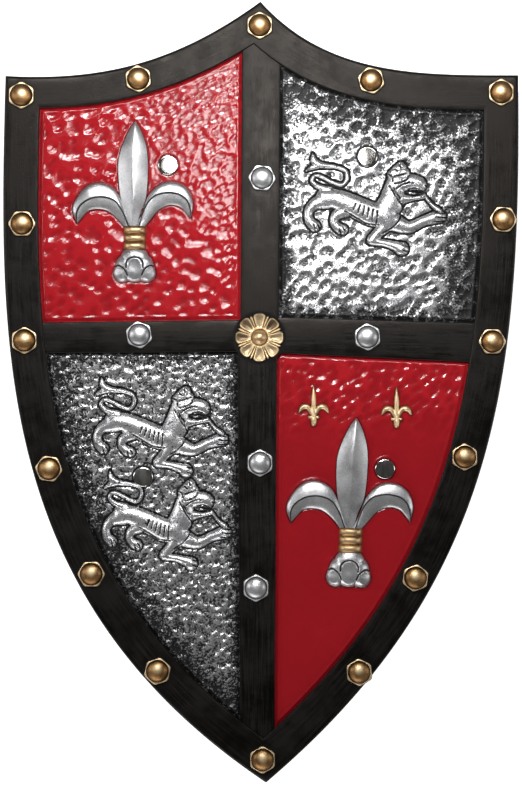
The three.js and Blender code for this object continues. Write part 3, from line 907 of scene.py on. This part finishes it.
def make_border(material):
    """The border band on the slab of foam behind the whole shield."""
    rings = []
    for (share, inset), z in border_profile():
        loop = border_loop(BAND_WIDTHS * share + inset)
        rings.append(np.column_stack([loop, np.full(len(loop), z)]))
    count = len(rings[0])
    points = np.vstack(rings)
    faces = [face[::-1] for face in stack_faces(len(rings), count)]
    steps = np.linalg.norm(np.diff(rings[-1], axis=0), axis=1)
    across = np.cumsum([0, *np.linalg.norm(np.diff([ring[0] for ring in rings], axis=0), axis=1)])
    values = {
        "along": np.tile(np.concatenate([[0], np.cumsum(steps)]), len(rings)),
        "across": np.repeat(across, count),
    }
    make_piece("border", (points, faces, values), material, sharp=35)


def bar_side(panels, key):
    """One side of a bar, along two panels: through their corners and on past their far ends."""
    first, second = (PANELS[name] for name in panels)
    ends = []
    for panel in (first, second):
        corner, far = np.array(panel["corner"], float), np.array(panel[key], float)
        ends.append(far + BAR_REACH * (far - corner) / np.linalg.norm(far - corner))
    return np.array([ends[0], first["corner"], second["corner"], ends[1]], float)


def make_bar(name, left, right, top_z, material):
    """A bar between its two sides, with rounded shoulders and a slight crown."""
    left, right = evenly(left, BAR_STEPS), evenly(right, BAR_STEPS)
    across = right - left
    across /= np.linalg.norm(across, axis=1, keepdims=True)
    top_z = top_z - BAR_CROWN
    shoulder = rounded((0, top_z - BAR_ROUND), (BAR_ROUND, top_z), (0, top_z))
    section = [(0, PANEL_Z - FLOOR_DEPTH), (0, top_z - BAR_ROUND), *shoulder]
    rows = [np.column_stack([left + across * inset, np.full(BAR_STEPS, z)]) for inset, z in section]
    for share in BAR_CROWN_SHARES:
        crown = BAR_CROWN * (1 - (2 * share - 1) ** 2)
        rows.append(np.column_stack([left + (right - left) * share, np.full(BAR_STEPS, top_z + crown)]))
    rows += [np.column_stack([right - across * inset, np.full(BAR_STEPS, z)]) for inset, z in section[::-1]]
    sections = np.stack(rows, axis=1)
    length = np.linalg.norm(left[-1] - left[0])
    values = {
        "along": np.repeat(np.linspace(0, length, BAR_STEPS), len(rows)),
        "across": np.tile(np.linalg.norm(sections[0] - sections[0, 0], axis=1), BAR_STEPS),
    }
    bar = (sections.reshape(-1, 3), stack_faces(BAR_STEPS, len(rows)), values)
    make_piece(name, bar, material, sharp=35)


def make_bars(material):
    """The cross: one bar down the shield and one across it, just lower where they meet."""
    left = bar_side(("panel_upper_left", "panel_lower_left"), "along")
    right = bar_side(("panel_upper_right", "panel_lower_right"), "along")
    make_bar("bar_upright", right, left, BAR_Z, material)
    upper = bar_side(("panel_upper_left", "panel_upper_right"), "across")
    lower = bar_side(("panel_lower_left", "panel_lower_right"), "across")
    make_bar("bar_level", upper, lower, BAR_Z - LEVEL_BAR_DROP, material)


# The hammered panels

def straight_side(corner, far, other):
    """A panel's straight side as a line, moved a lap away from the other side and run on past both ends."""
    corner, far, other = (np.array(point, float) for point in (corner, far, other))
    along = (far - corner) / np.linalg.norm(far - corner)
    square = np.array([-along[1], along[0]])
    outwards = -square if np.dot(square, other - corner) > 0 else square
    start = corner + outwards * HIDDEN_LAP
    return np.array([start - along * SIDE_RUN_BACK, start + along * SIDE_RUN_ON])


def panel_points(panel):
    """A grid of points over a panel, from the crossing of the bars out to the border."""
    closed = len(panel["edges"]) == 2
    level = straight_side(panel["corner"], panel["across"], panel["along"])
    upright = straight_side(panel["corner"], panel["along"], panel["across"])
    moved = inset_edges(BAND_WIDTHS - HIDDEN_LAP)
    side, end = moved[panel["edges"][0]], moved[panel["edges"][-1]]
    on_level, on_upright = crossing(level, upright)
    side_start, end_start = crossing(side, level), crossing(end, upright)
    corner_meeting = crossing(side, end) if closed else (end_start[0], end_start[0])
    width = np.linalg.norm(np.subtract(panel["across"], panel["corner"]))
    height = np.linalg.norm(np.subtract(panel["along"], panel["corner"]))
    columns, rows = int(width / PANEL_CELL), int(height / PANEL_CELL)
    near = stretch_of(level, on_level, side_start[1], columns)
    inner = stretch_of(upright, on_upright, end_start[1], rows)
    outer = stretch_of(side, side_start[0], corner_meeting[0], rows)
    far = np.repeat(inner[-1:], columns, axis=0)
    if closed:
        far = stretch_of(end, end_start[0], corner_meeting[1], columns)
    u = np.linspace(0, 1, columns)[None, :, None]
    v = np.linspace(0, 1, rows)[:, None, None]
    ruled = (1 - v) * near[None] + v * far[None] + (1 - u) * inner[:, None] + u * outer[:, None]
    flat = (1 - u) * ((1 - v) * near[0] + v * far[0]) + u * ((1 - v) * near[-1] + v * far[-1])
    return (ruled - flat)[: int(rows * (1 if closed else PANEL_POINT_SHARE))]


def edge_distance(grid, bar_share, open_end):
    """About how far each point of a panel's grid lies from the panel's edge; a bar counts by its share."""
    u = np.linspace(0, 1, grid.shape[1])[None]
    v = np.linspace(0, 1, grid.shape[0])[:, None]
    width = np.linalg.norm(grid[:, -1] - grid[:, 0], axis=1)[:, None]
    height = np.linalg.norm(grid[-1] - grid[0], axis=1)[None]
    from_bars = np.minimum(u * width, v * height) - HIDDEN_LAP
    from_border = (1 - u) * width - HIDDEN_LAP
    if not open_end:
        from_border = np.minimum(from_border, (1 - v) * height - HIDDEN_LAP)
    return np.minimum(bar_share * from_bars, from_border).ravel()


@functools.cache
def lion_field():
    """The lion's own grid of points and its shape, with its relief and the distance outside its outline."""
    stops = np.array([stop for limb in LION_LIMBS for stop in limb])[:, :2]
    points, shape = field_grid(stops.min(axis=0) - LION_MARGIN, stops.max(axis=0) + LION_MARGIN, LION_CELL)
    return points, shape, *limb_field(points, LION_LIMBS, LION_HEIGHT)


def figure_gap(points):
    """How far each point lies outside the nearest lion."""
    grid, (rows, columns), _, lion_gap = lion_field()
    gap = np.full(len(points), float(LION_MARGIN))
    for lion in LIONS.values():
        local = (points - lion["place"]) / lion["stretch"]
        column, row = np.rint((local - grid[0]) / LION_CELL).astype(int).T
        near = (column >= 0) & (row >= 0) & (column < columns) & (row < rows)
        gap[near] = np.minimum(gap[near], lion_gap[row[near] * columns + column[near]])
    return gap


def fleur_outline(fleur):
    """Points round a fleur-de-lis, along its leaves and its foot."""
    lines = [smooth_line(leaf[key], OUTLINE_STEPS) for leaf in CURLS.values() for key in ("outer", "inner")]
    y, middle, half = smooth_line(SPEAR_STOPS, OUTLINE_STEPS).T
    lines += [np.column_stack([middle - half, y]), np.column_stack([middle + half, y])]
    turn = np.linspace(0, 2 * math.pi, FOOT_OUTLINE_STEPS)[:, None]
    for limb in FOOT_LIMBS:
        for x, y, radius in limb:
            lines.append(np.hstack([x + radius * np.cos(turn), y + radius * np.sin(turn)]))
    return placed(np.vstack(lines), fleur)


def fleur_gap(points):
    """About how far each point lies from the outline of the nearest fleur-de-lis."""
    gap = np.full(len(points), float(LION_MARGIN))
    for fleur in FLEURS.values():
        outline = fleur_outline(fleur)
        low, high = outline.min(axis=0) - LION_MARGIN, outline.max(axis=0) + LION_MARGIN
        near = ((points > low) & (points < high)).all(axis=1)
        close = points[near]
        for point in outline:
            gap[near] = np.minimum(gap[near], np.hypot(*(close - point).T))
    return gap


def rivet_gap(points):
    """How far each point lies outside the nearest rivet's seat."""
    away = [np.linalg.norm(points - np.array(place), axis=1) for place in RIVETS.values()]
    return np.min(away, axis=0) - RIVET_SEAT_RADIUS


def drawn_out(points, share):
    """Points moved so that a pattern laid over them comes out longer along the slant of the dents."""
    turn = np.array([[math.cos(DENT_LEAN), -math.sin(DENT_LEAN)], [math.sin(DENT_LEAN), math.cos(DENT_LEAN)]])
    return (points @ turn) / np.array([share, 1 / share])


def panel_height(points, panel):
    """The hammered surface's height: dents that meet in soft ridges, stronger and weaker in slow waves."""
    seed = panel["seed"]
    aside = [ripple(points, WANDER_PITCH, seed + 1), ripple(points, WANDER_PITCH, seed + 2)]
    wander = np.column_stack(aside) - 0.5
    warped = drawn_out(points + WANDER_REACH * wander, panel["drawn_out"])
    dents = hammered(warped, panel["pitch"], seed + 3) / DENT_RIDGE
    strength = WAVE_LOW + WAVE_SPAN * ripple(points, WAVE_PITCH, seed + 5)
    if "plateau" in panel:
        dents = fade(dents, 0, panel["plateau"])
    if "coarse_pitch" in panel:
        coarse = 1 - fade(points @ np.array(FINE_SIDE), *FINE_RANGE)
        broad = hammered(warped, panel["coarse_pitch"], seed + 4) / DENT_RIDGE
        dents = dents + (broad - dents) * coarse
        strength *= 1 + (COARSE_RISE - 1) * coarse
    if "smooth_below" in panel:
        start, end = (panel["smooth_below"] + reach for reach in SMOOTH_RANGE)
        strength *= SMOOTH_SHARE + (1 - SMOOTH_SHARE) * fade(points[:, 1], start, end)
    return np.clip(dents, 0, DENT_HIGHEST) * strength


def walled(grid, z, values):
    """A closed piece under a panel's grid: its face, walls down from the rim and a flat underside."""
    rows, columns = grid.shape[:2]
    top = np.column_stack([grid.reshape(-1, 2), z])
    index = np.arange(rows * columns).reshape(rows, columns)
    rim = np.concatenate([index[0, :-1], index[:-1, -1], index[-1, :0:-1], index[:0:-1, 0]])
    low = top[rim] - [0, 0, FLOOR_DEPTH]
    below = len(top) + np.arange(len(rim))
    skirt = np.column_stack([np.roll(rim, -1), rim, below, np.roll(below, -1)])
    faces = [*grid_faces(rows, columns), *skirt, below[::-1]]
    if cross(grid[0, 1] - grid[0, 0], grid[1, 0] - grid[0, 0]) < 0:
        faces = [face[::-1] for face in faces]
    return np.vstack([top, low]), faces, {key: np.append(value, value[rim]) for key, value in values.items()}


def make_panel(name, panel, material):
    """A hammered panel, sunk at its edge, round the figures and under the rivets."""
    grid = panel_points(panel)
    points = grid.reshape(-1, 2)
    open_end = len(panel["edges"]) == 1
    edge = edge_distance(grid, 1, open_end)
    dents = panel_height(points, panel)
    figure, leaves, seat = figure_gap(points), fleur_gap(points), rivet_gap(points)
    calm = fade(edge, *CALM_AT_EDGE) * fade(figure, *CALM_AT_FIGURE)
    calm *= fade(seat, *CALM_AT_SEAT)
    calm *= fade(leaves, *CALM_AT_FIGURE)
    nearest = np.minimum(figure, leaves)
    rise = panel["depth"] * (dents - DENT_MEAN) * calm
    rise -= LIP_DROP * (1 - fade(edge, 0, LIP_WIDTH))
    rise += LIP_BEAD * np.clip(1 - ((edge - LIP_WIDTH) / LIP_BEAD_HALF) ** 2, 0, 1)
    rise -= OUTLINE_DEPTH * (1 - fade(nearest, 0, OUTLINE_GROOVE))
    rise -= SEAT_DEPTH * (1 - fade(seat, *SEAT_SLOPE))
    off_groove = np.minimum(np.abs(nearest - OUTLINE_GROOVE_AT), np.abs(seat))
    # Painted highlight and shade from the dents' height, painted shade along the grooves round the figures
    # and rivet seats, and the margin for painted shade from the border inwards
    values = {
        "height": np.clip(dents, 0, 1),
        "margin": edge_distance(grid, BAR_MARGIN_SHARE, open_end),
        "groove_painted_shade": np.clip(1 - off_groove / OUTLINE_GROOVE, 0, 1),
    }
    make_piece(name, walled(grid, PANEL_Z + rise, values), material, sharp=60)


# Raised ornaments

def lion_ribs():
    """Short strokes down the flank."""
    number = np.arange(LION_RIBS)[:, None]
    tops = LION_RIB_TOP + number * LION_RIB_TOP_STEP
    feet = LION_RIB_FOOT + number * LION_RIB_FOOT_STEP
    return np.stack([tops, feet], axis=1)


@functools.cache
def lion_lines():
    """How deep each point of the lion's grid lies in the creases cut into it."""
    points = lion_field()[0]
    lines = line_field(points, [*LION_LINES, *lion_ribs()], LINE_HALF_WIDTH)
    mouth = fade(within(points, *LION_MOUTH), 0, 0.4) - fade(within(points, *LION_TONGUE), 0, 0.6)
    return np.maximum(lines, mouth)


def make_lion(name, lion, material):
    """A walking lion in relief, with its creases cut in."""
    points, shape, height, gap = lion_field()
    lines = lion_lines()
    z = PANEL_Z + skirted(height - LINE_DEPTH * lines, gap) - LION_SINK
    # Painted shade in the creases and round the outline, and a painted highlight from the relief's height
    values = {
        "groove_painted_shade": np.maximum(lines, 1 - fade(height, 0, 0.7)),
        "margin": np.full(len(points), LION_COVER_MARGIN),
        "height": 2 * fade(height, 0, 2),
    }
    places = points * lion["stretch"] + lion["place"]
    made = relief(shape, places, z, PANEL_Z - FLOOR_DEPTH, gap < SKIRT_WIDTH, values)
    make_piece(name, made, material, sharp=70)


def placed(points, fleur):
    """Points of a fleur-de-lis in its own millimetres, turned and sized into its place."""
    cos, sin = math.cos(fleur["turn"]), math.sin(fleur["turn"])
    return points @ np.array([[cos, sin], [-sin, cos]]) * fleur["size"] + np.array(fleur["place"])


def spear(fleur):
    """The middle leaf: rounded above, with a keel that sharpens towards its foot."""
    shares = np.concatenate([[-1], np.linspace(-1, 1, SPEAR_COLUMNS), [1]])
    points, painted_shade = [], []
    for y, middle, half in smooth_line(SPEAR_STOPS, SPEAR_STEPS):
        keel = SPEAR_KEEL + SPEAR_ROUNDING * fade(y, *SPEAR_ROUND_RANGE)
        height = FLEUR_HEIGHT * math.sqrt(max(half, SPEAR_THINNEST) / SPEAR_FULL_HALF)
        z = height * (SPEAR_EDGE_SHARE + (1 - SPEAR_EDGE_SHARE) * (1 - np.abs(shares) ** keel))
        z[[0, -1]] = -FLOOR_DEPTH
        local = np.column_stack([middle + shares * half, np.full(len(shares), y)])
        points.append(np.column_stack([placed(local, fleur), PANEL_Z + z]))
        # Painted shade along the spear's foot where it meets the panel
        painted_shade.append(np.where(z < 0, 1.0, 0.0))
    return np.vstack(points), stack_faces(len(points), len(shares)), {"painted_shade": np.concatenate(painted_shade)}


def curl(fleur, leaf):
    """A side leaf: a high outer band, a step down along its middle, and a lower inner band."""
    count = CURL_STEPS
    drawn = (smooth_line(leaf[key], CURL_SAMPLES) for key in ("outer", "step", "inner"))
    outer, step, inner = (evenly(line, count) for line in drawn)
    outward, inward = outer - step, inner - step
    outer_width, inner_width = (
        np.maximum(np.linalg.norm(band, axis=1, keepdims=True), 1e-6) for band in (outward, inward)
    )
    crest = outward * np.minimum(CURL_GROOVE / outer_width, CURL_GROOVE_SHARE)
    trough = inward * np.minimum(CURL_GROOVE / inner_width, CURL_GROOVE_SHARE)
    lines = [(outer, CURL_OUTER_EDGE, 0)]
    lines += [(step + outward * share, rise, 0) for share, rise in CURL_OUTER_BAND]
    lines += [(step + crest, CURL_CREST, 0), (step, CURL_STEP, 1), (step + trough, CURL_TROUGH, 0)]
    lines += [(step + inward * share, rise, 0) for share, rise in CURL_INNER_BAND]
    lines += [(inner, CURL_INNER_EDGE, 0)]
    width_share = np.minimum(outer_width[:, 0], CURL_FULL_WIDTH) / CURL_FULL_WIDTH
    taper = 1 - CURL_TAPER_SHARE + CURL_TAPER_SHARE * np.sqrt(width_share)
    high = FLEUR_HEIGHT * CURL_HEIGHT_SHARE * taper
    root = np.full(count, -FLOOR_DEPTH)
    # Painted shade along the step and along the leaf's edges at the panel
    section = [(outer, root, 1), *((line, rise * high, painted_darkness) for line, rise, painted_darkness in lines), (inner, root, 1)]
    rows = [np.column_stack([placed(line, fleur), PANEL_Z + z]) for line, z, _ in section]
    painted_darknesses = np.array([painted_darkness for _, _, painted_darkness in section], float)
    points = np.stack(rows[:: leaf["side"]], axis=1).reshape(-1, 3)
    faces = [face[::-1] for face in stack_faces(count, len(rows))]
    return points, faces, {"painted_shade": np.tile(painted_darknesses[:: leaf["side"]], count)}


def foot(fleur):
    """The flared foot, with an arch and two lobes cut in it."""
    points, shape = field_grid(*FOOT_BOX, FLEUR_CELL)
    gap = limb_field(points, FOOT_LIMBS, FLEUR_HEIGHT)[1]
    height = FLEUR_HEIGHT * np.sqrt(1 - (1 - np.clip(-gap / FOOT_ROUND, 0, 1)) ** 2)
    lines = line_field(points, FOOT_LINES, FOOT_LINE_HALF)
    hollow = np.max([within(points, *oval) ** FOOT_HOLLOW_DISH for oval in FOOT_HOLLOWS], axis=0)
    z = PANEL_Z + skirted(height - LINE_DEPTH * lines - FOOT_HOLLOW_DEPTH * hollow, gap)
    # Painted shade in the cut lines and hollows and round the foot's edge
    painted_shade = np.maximum.reduce([lines, 0.3 * hollow, 1 - fade(height, 0.1, 0.7)])
    inside = gap < SKIRT_WIDTH
    return relief(shape, placed(points, fleur), z, PANEL_Z - FLOOR_DEPTH, inside, {"painted_shade": painted_shade})


def collar(fleur):
    """Three rings round the stem."""
    reach = np.array([COLLAR_REACH, COLLAR_HALF_LENGTH])
    points, shape = field_grid(-reach, reach, FLEUR_CELL)
    x, y = points.T
    arch = np.clip(1 - (np.abs(x) / COLLAR_REACH) ** COLLAR_SQUARENESS, 0, 1) ** 0.5
    rings = np.max([np.clip(1 - ((y - ring) / COLLAR_RING_HALF) ** 2, 0, 1) for ring in COLLAR_RINGS], axis=0)
    z = PANEL_Z + COLLAR_HEIGHT * arch * (COLLAR_LOWEST + (1 - COLLAR_LOWEST) * np.sqrt(rings)) - COLLAR_SINK
    # Painted shade between the rings and a painted highlight on their tops
    values = {"painted_shade": 0.85 * (1 - fade(rings, 0, 0.4)), "rim": 0.55 * fade(rings, 0.5, 1) * arch}
    inside = np.abs(y) < COLLAR_RING_HALF + COLLAR_RINGS[-1]
    return relief(shape, placed(points, fleur), z, PANEL_Z - FLOOR_DEPTH, inside, values)


def make_fleur(name, fleur, silver, gold):
    """A fleur-de-lis: silver leaves and foot, and a gold collar."""
    leaves = join([*(curl(fleur, leaf) for leaf in CURLS.values()), spear(fleur), foot(fleur)])
    make_piece(name, leaves, silver, sharp=45)
    make_piece(name + "_collar", collar(fleur), gold, sharp=60)


def make_small_fleur(name, place, material):
    """A small gold fleur-de-lis."""
    points, shape = field_grid(*SMALL_FLEUR_BOX, FLEUR_CELL)
    height, gap = limb_field(points, SMALL_FLEUR_LIMBS, SMALL_FLEUR_HEIGHT)
    # Painted shade round the edge and a painted highlight on the tops
    values = {"painted_shade": 1 - fade(height, 0.1, 0.8), "rim": 0.8 * fade(height, 1.0, 2.2)}
    z = PANEL_Z + skirted(height, gap)
    made = relief(shape, points + place, z, PANEL_Z - FLOOR_DEPTH, gap < SKIRT_WIDTH, values)
    make_piece(name, made, material, sharp=60)


def rosette_field(points):
    """The rosette's height at each point, and the painted shade and painted highlight on its gold there."""
    x, y = points.T
    radius, angle = np.hypot(x, y), np.arctan2(y, x)
    sector = 2 * math.pi / ROSETTE_PETALS
    turn = (angle + sector / 2) % sector - sector / 2
    aside = np.abs(turn) / (sector / 2)
    out = (radius - ROSETTE_EYE_RADIUS) / (ROSETTE_RADIUS - ROSETTE_EYE_RADIUS)
    rounding = 0.14 * np.clip(aside / ROSETTE_SEAM_AT, 0, 1) ** 4
    leaf_tip = 0.09 * fade(aside, 0.82, 0.95)
    petal_end = ROSETTE_RADIUS * (1 - rounding + leaf_tip)
    scoop = np.clip(1 - (aside / 0.74) ** 2, 0, 1) * np.clip(1 - ((out - 0.6) / 0.45) ** 2, 0, 1)
    petal = 3.2 + 1.4 * out - 1.5 * scoop
    seam = np.clip(1 - np.abs(aside - ROSETTE_SEAM_AT) / ROSETTE_SEAM_HALF, 0, 1) * fade(out, 0.05, 0.3)
    vein = np.clip(1 - aside / 0.1, 0, 1) * fade(out, 0.1, 0.3) * (1 - fade(out, 0.55, 0.8))
    eye = np.clip(1 - (radius / ROSETTE_EYE_RADIUS) ** 2, 0, 1)
    ring = np.clip(1 - np.abs(radius - ROSETTE_RING_RADIUS) / ROSETTE_RING_HALF, 0, 1)
    domed = ROSETTE_EYE_BASE + (ROSETTE_HEIGHT - ROSETTE_EYE_BASE) * np.sqrt(eye)
    rise = np.where(radius < ROSETTE_EYE_RADIUS, domed, petal - 1.7 * seam - 0.4 * vein) - 1.2 * ring
    on_flower = 1 - fade(radius, petal_end - 0.8, petal_end + 0.4)
    tones = np.random.default_rng(ROSETTE_SEED).uniform(0.45, 1, ROSETTE_PETALS)
    petal_tone = tones[np.floor((angle + sector / 2) / sector).astype(int) % ROSETTE_PETALS]
    # Painted shade in the petals' scoops, deeper on some petals than on others
    hollow = 0.8 * petal_tone * fade(scoop, 0.05, 0.6)
    # Painted shade in the seams, ring, scoops and veins, and painted shadow with black paint on the halo
    # round the flower
    painted_darkness = np.maximum.reduce([0.96 * seam, 0.9 * ring, hollow, 0.6 * vein, 1 - fade(on_flower, 0.1, 0.6)])
    # Painted highlight over the petals, half as strong on the eye
    painted_highlight = on_flower * (0.5 + 0.5 * fade(radius, ROSETTE_EYE_RADIUS, ROSETTE_EYE_RADIUS + 1.5))
    return rise * on_flower + ROSETTE_HALO_RISE * (1 - on_flower), painted_darkness, painted_highlight


def make_rosette(material):
    """The rosette: scooped petals with leaf tips between them, round a domed eye, on a halo of black paint
    and painted shadow.
    """
    halo = ROSETTE_RADIUS + ROSETTE_SHADOW
    points, shape = field_grid((-halo - 1, -halo - 1), (halo + 1, halo + 1), ROSETTE_CELL)
    rise, painted_darkness, painted_highlight = rosette_field(points)
    values = {"painted_shade": painted_darkness, "rim": painted_highlight}
    inside = np.hypot(*points.T) < halo
    z = BAR_Z - ROSETTE_SINK + rise
    made = relief(shape, points + ROSETTE_PLACE, z, BAR_Z - FLOOR_DEPTH, inside, values)
    make_piece("rosette", made, material, sharp=60)


def stud(place, base_z, shade):
    """A stud: a line of painted shadow round its foot, a six-sided nut with a bevelled rim, a narrow channel
    and a dome; painted shade darkens its sides, the channel and the lower dome, and a painted highlight
    brightens the rim and the upper dome.
    """
    *middle, turn = place
    angle = np.linspace(0, 2 * math.pi, ROUND_SEGMENTS, endpoint=False)
    off_flat = (angle - math.radians(turn) + math.pi / 6) % (math.pi / 3) - math.pi / 6
    nut = np.minimum(STUD_FLAT_RADIUS / np.cos(off_flat), STUD_CORNER_RADIUS)
    # The line of painted shadow round the stud's foot reaches out to here
    painted_shadow_line = nut + STUD_SHADOW
    top_z = STUD_NUT_HEIGHT
    groove_z = top_z - STUD_GROOVE_DEPTH
    # Each level: its radius, its height, its painted shade and its painted highlight
    levels = [
        (painted_shadow_line, -STUD_ROOT, 1, 0),
        (painted_shadow_line, 0.1, 1, 0),
        (nut, 0.2, 1, 0),
        (nut, top_z - STUD_BEVEL, 0.2, 0.3),
        (nut - STUD_BEVEL * 0.4, top_z - STUD_BEVEL * 0.25, 0, 0.8),
        (nut - STUD_BEVEL, top_z, 0, 1),
        (STUD_RIM_INNER, top_z, 0, 1),
        (STUD_RIM_INNER - 0.2, groove_z + 0.2, 1, 0),
        (STUD_DOME_RADIUS, groove_z, 1, 0),
    ]
    for rise in STUD_DOME_RISES:
        up, out = math.sin(rise), math.cos(rise)
        # Painted shade grows towards the dome's foot; the painted highlight is centred a little towards the
        # shield's top from the dome's middle
        painted_darkness = shade * (1 - fade(up, *STUD_SHADE_RANGE))
        off_highlight = np.hypot(out * np.cos(angle), out * np.sin(angle) - STUD_HIGHLIGHT_UP)
        painted_highlight = 1 - fade(off_highlight, *STUD_HIGHLIGHT_RANGE)
        levels.append((STUD_DOME_RADIUS * out, groove_z + (STUD_HEIGHT - groove_z) * up, painted_darkness, painted_highlight))
    points, faces = turned(middle, [(radius, base_z + z) for radius, z, _, _ in levels])
    painted_shade = np.repeat([painted_darkness for _, _, painted_darkness, _ in levels], ROUND_SEGMENTS)
    rim = np.concatenate([np.broadcast_to(painted_highlight, ROUND_SEGMENTS) for _, _, _, painted_highlight in levels])
    return points, faces, {"painted_shade": painted_shade, "rim": rim}


def make_studs(gold, silver):
    """Gold studs along the border and silver ones along the bars."""
    border_studs = join(stud(place, BAND_Z, GOLD_STUD_SHADE) for place in BAND_STUDS)
    make_piece("border_studs", border_studs, gold, sharp=35)
    bar_studs = join(stud(place, BAR_Z, SILVER_STUD_SHADE) for place in BAR_STUDS)
    make_piece("bar_studs", bar_studs, silver, sharp=35)


# Rivets and straps

def make_rivet(node, material):
    """A rivet: a polished, slightly domed head, its shank and its back cap."""
    low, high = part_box(node)
    head, cap, shank = RIVET_HEAD_RADIUS, RIVET_CAP_RADIUS, RIVET_SHANK_RADIUS
    head_top, cap_low = high.z / MM, low.z / MM
    head_low, cap_top = head_top - RIVET_HEAD_DEPTH, cap_low + RIVET_CAP_DEPTH
    head_side, head_rim = head_top - RIVET_HEAD_ROUND, head_top - RIVET_DOME
    head_edge, cap_edge = head - RIVET_HEAD_ROUND, cap - RIVET_CAP_ROUND
    cap_round, cap_side = (cap_low + rise for rise in RIVET_CAP_EDGES)
    profile = [(RIVET_POINT, cap_low - RIVET_CAP_CROWN), (cap / 2, cap_low), (cap_edge, cap_round)]
    profile += rounded((cap_edge, cap_round), (cap, cap_side), (cap, cap_round))
    profile += [(cap, cap_top), (shank, cap_top), (shank, head_low), (head, head_low), (head, head_side)]
    profile += rounded((head, head_side), (head_edge, head_rim), (head, head_rim))
    profile += [(head_edge * share, head_top - RIVET_DOME * share**2) for share in RIVET_DOME_SHARES]
    rivet = (*turned(RIVETS[node], profile), {})
    make_piece(node + "_polished", rivet, material, [node], sharp=35)


def strap_line(half_span):
    """A strap seen from its edge: tab, slope, flat run, slope, tab, as distance along and height."""
    tab_z = BACK_Z - STRAP_GAP - STRAP_THICKNESS / 2
    run_z = STRAP_THICKNESS / 2
    tab_inner = half_span - STRAP_TAB_REACH
    run_end = tab_inner - STRAP_SLOPE_LENGTH
    middle = (tab_inner + run_end) / 2
    slope = bezier([(run_end, run_z), (middle, run_z), (middle, tab_z), (tab_inner, tab_z)])
    half = np.vstack([slope, [half_span + STRAP_TAB_REACH, tab_z]])
    return np.vstack([half[::-1] * [-1, 1], half])


def make_strap(node, rivets, material):
    """A strap of ribbed webbing, riveted at both ends."""
    first, second = (np.array(RIVETS[name]) for name in rivets)
    span = second - first
    length = np.linalg.norm(span)
    along, aside = span / length, np.array([-span[1], span[0]]) / length
    line = evenly(strap_line(length / 2), STRAP_STEPS)
    direction = np.gradient(line, axis=0)
    direction /= np.linalg.norm(direction, axis=1, keepdims=True)
    up = np.column_stack([-direction[:, 1], direction[:, 0]])
    share = np.linspace(-1, 1, STRAP_RIB_STEPS * STRAP_RIBS + 1)
    rib = STRAP_RIB_DEPTH * np.cos(share * STRAP_RIBS * math.pi / 2) ** 2
    in_edge = np.clip((np.abs(share) - 1 + STRAP_EDGE_SHARE) / STRAP_EDGE_SHARE, 0, 1)
    half = (STRAP_THICKNESS / 2 - rib) * np.sqrt(np.clip(1 - in_edge**2, STRAP_EDGE_THINNEST, 1))
    around = np.concatenate([share, share[::-1]]) * STRAP_WIDTH / 2
    lift = np.concatenate([half, -half[::-1]])
    middle = (first + second) / 2
    sections = []
    for place, rise in zip(line, up):
        run = place[0] + rise[0] * lift
        flat = middle + np.outer(run, along) + np.outer(around, aside)
        sections.append(np.column_stack([flat, np.clip(place[1] + rise[1] * lift, 0, None)]))
    strap = (np.vstack(sections), stack_faces(len(sections), len(around)), {})
    make_piece(node + "_webbing", strap, material, [node], sharp=50)


# Stage

def make_floor():
    """The floor that the shield lies on."""
    half = FLOOR_HALF
    mesh = bpy.data.meshes.new("floor")
    corners = [(-half, -half, 0), (half, -half, 0), (half, half, 0), (-half, half, 0)]
    mesh.from_pydata(corners, [], [(0, 1, 2, 3)])
    mesh.materials.append(floor_paint())
    floor = bpy.data.objects.new("floor", mesh)
    bpy.context.scene.collection.objects.link(floor)


def make_light(name, place, target, size, power):
    """A soft rectangular light at a place, aimed at a point."""
    light = bpy.data.lights.new(name, "AREA")
    light.shape = "RECTANGLE"
    light.size, light.size_y = size
    light.energy = power
    lamp = bpy.data.objects.new(name, light)
    lamp.location = place
    lamp.rotation_euler = (Vector(target) - Vector(place)).to_track_quat("-Z", "Y").to_euler()
    bpy.context.scene.collection.objects.link(lamp)


def make_lights():
    """A soft box and small glints over the upper part, larger lights round the shield, and a dim room."""
    for name, light in LIGHTS.items():
        make_light(name, *light)
    world = bpy.data.worlds.new("studio")
    world.use_nodes = True
    world.node_tree.nodes["Background"].inputs["Color"].default_value = grey(WORLD_GREY)
    bpy.context.scene.world = world


def make_camera():
    """A long lens straight above the shield, framed as the photograph is."""
    data = bpy.data.cameras.new("camera")
    data.lens = data.sensor_width / 2 / (VIEW_HEIGHT / 2 / CAMERA_DISTANCE)
    data.clip_end = 100
    camera = bpy.data.objects.new("camera", data)
    camera.location = (VIEW_CENTRE[0] * MM, VIEW_CENTRE[1] * MM, (BAR_Z + CAMERA_DISTANCE) * MM)
    bpy.context.scene.collection.objects.link(camera)
    bpy.context.scene.camera = camera
    bpy.context.scene.view_settings.view_transform = "Standard"


def build():
    """Every material and every piece of the shield."""
    foam = black_foam()
    paints = {
        "red": red_paint(),
        **{name: rubbed_silver(name, **shares) for name, shares in RUBBED_SILVERS.items()},
    }
    silver, gold, plate, webbing = silver_paint(), gold_paint(), nickel(), black_webbing()
    make_border(foam)
    make_bars(foam)
    for name, panel in PANELS.items():
        make_panel(name, panel, paints[panel["paint"]])
    for name, lion in LIONS.items():
        make_lion(name, lion, paints["figure_silver"])
    for name, fleur in FLEURS.items():
        make_fleur(name, fleur, silver, gold)
    for name, place in SMALL_FLEURS.items():
        make_small_fleur(name, place, gold)
    make_rosette(gold)
    make_studs(gold, silver)
    for node in RIVETS:
        make_rivet(node, plate)
    for node, rivets in STRAPS.items():
        make_strap(node, rivets, webbing)


make_camera()
make_lights()
make_floor()
build()
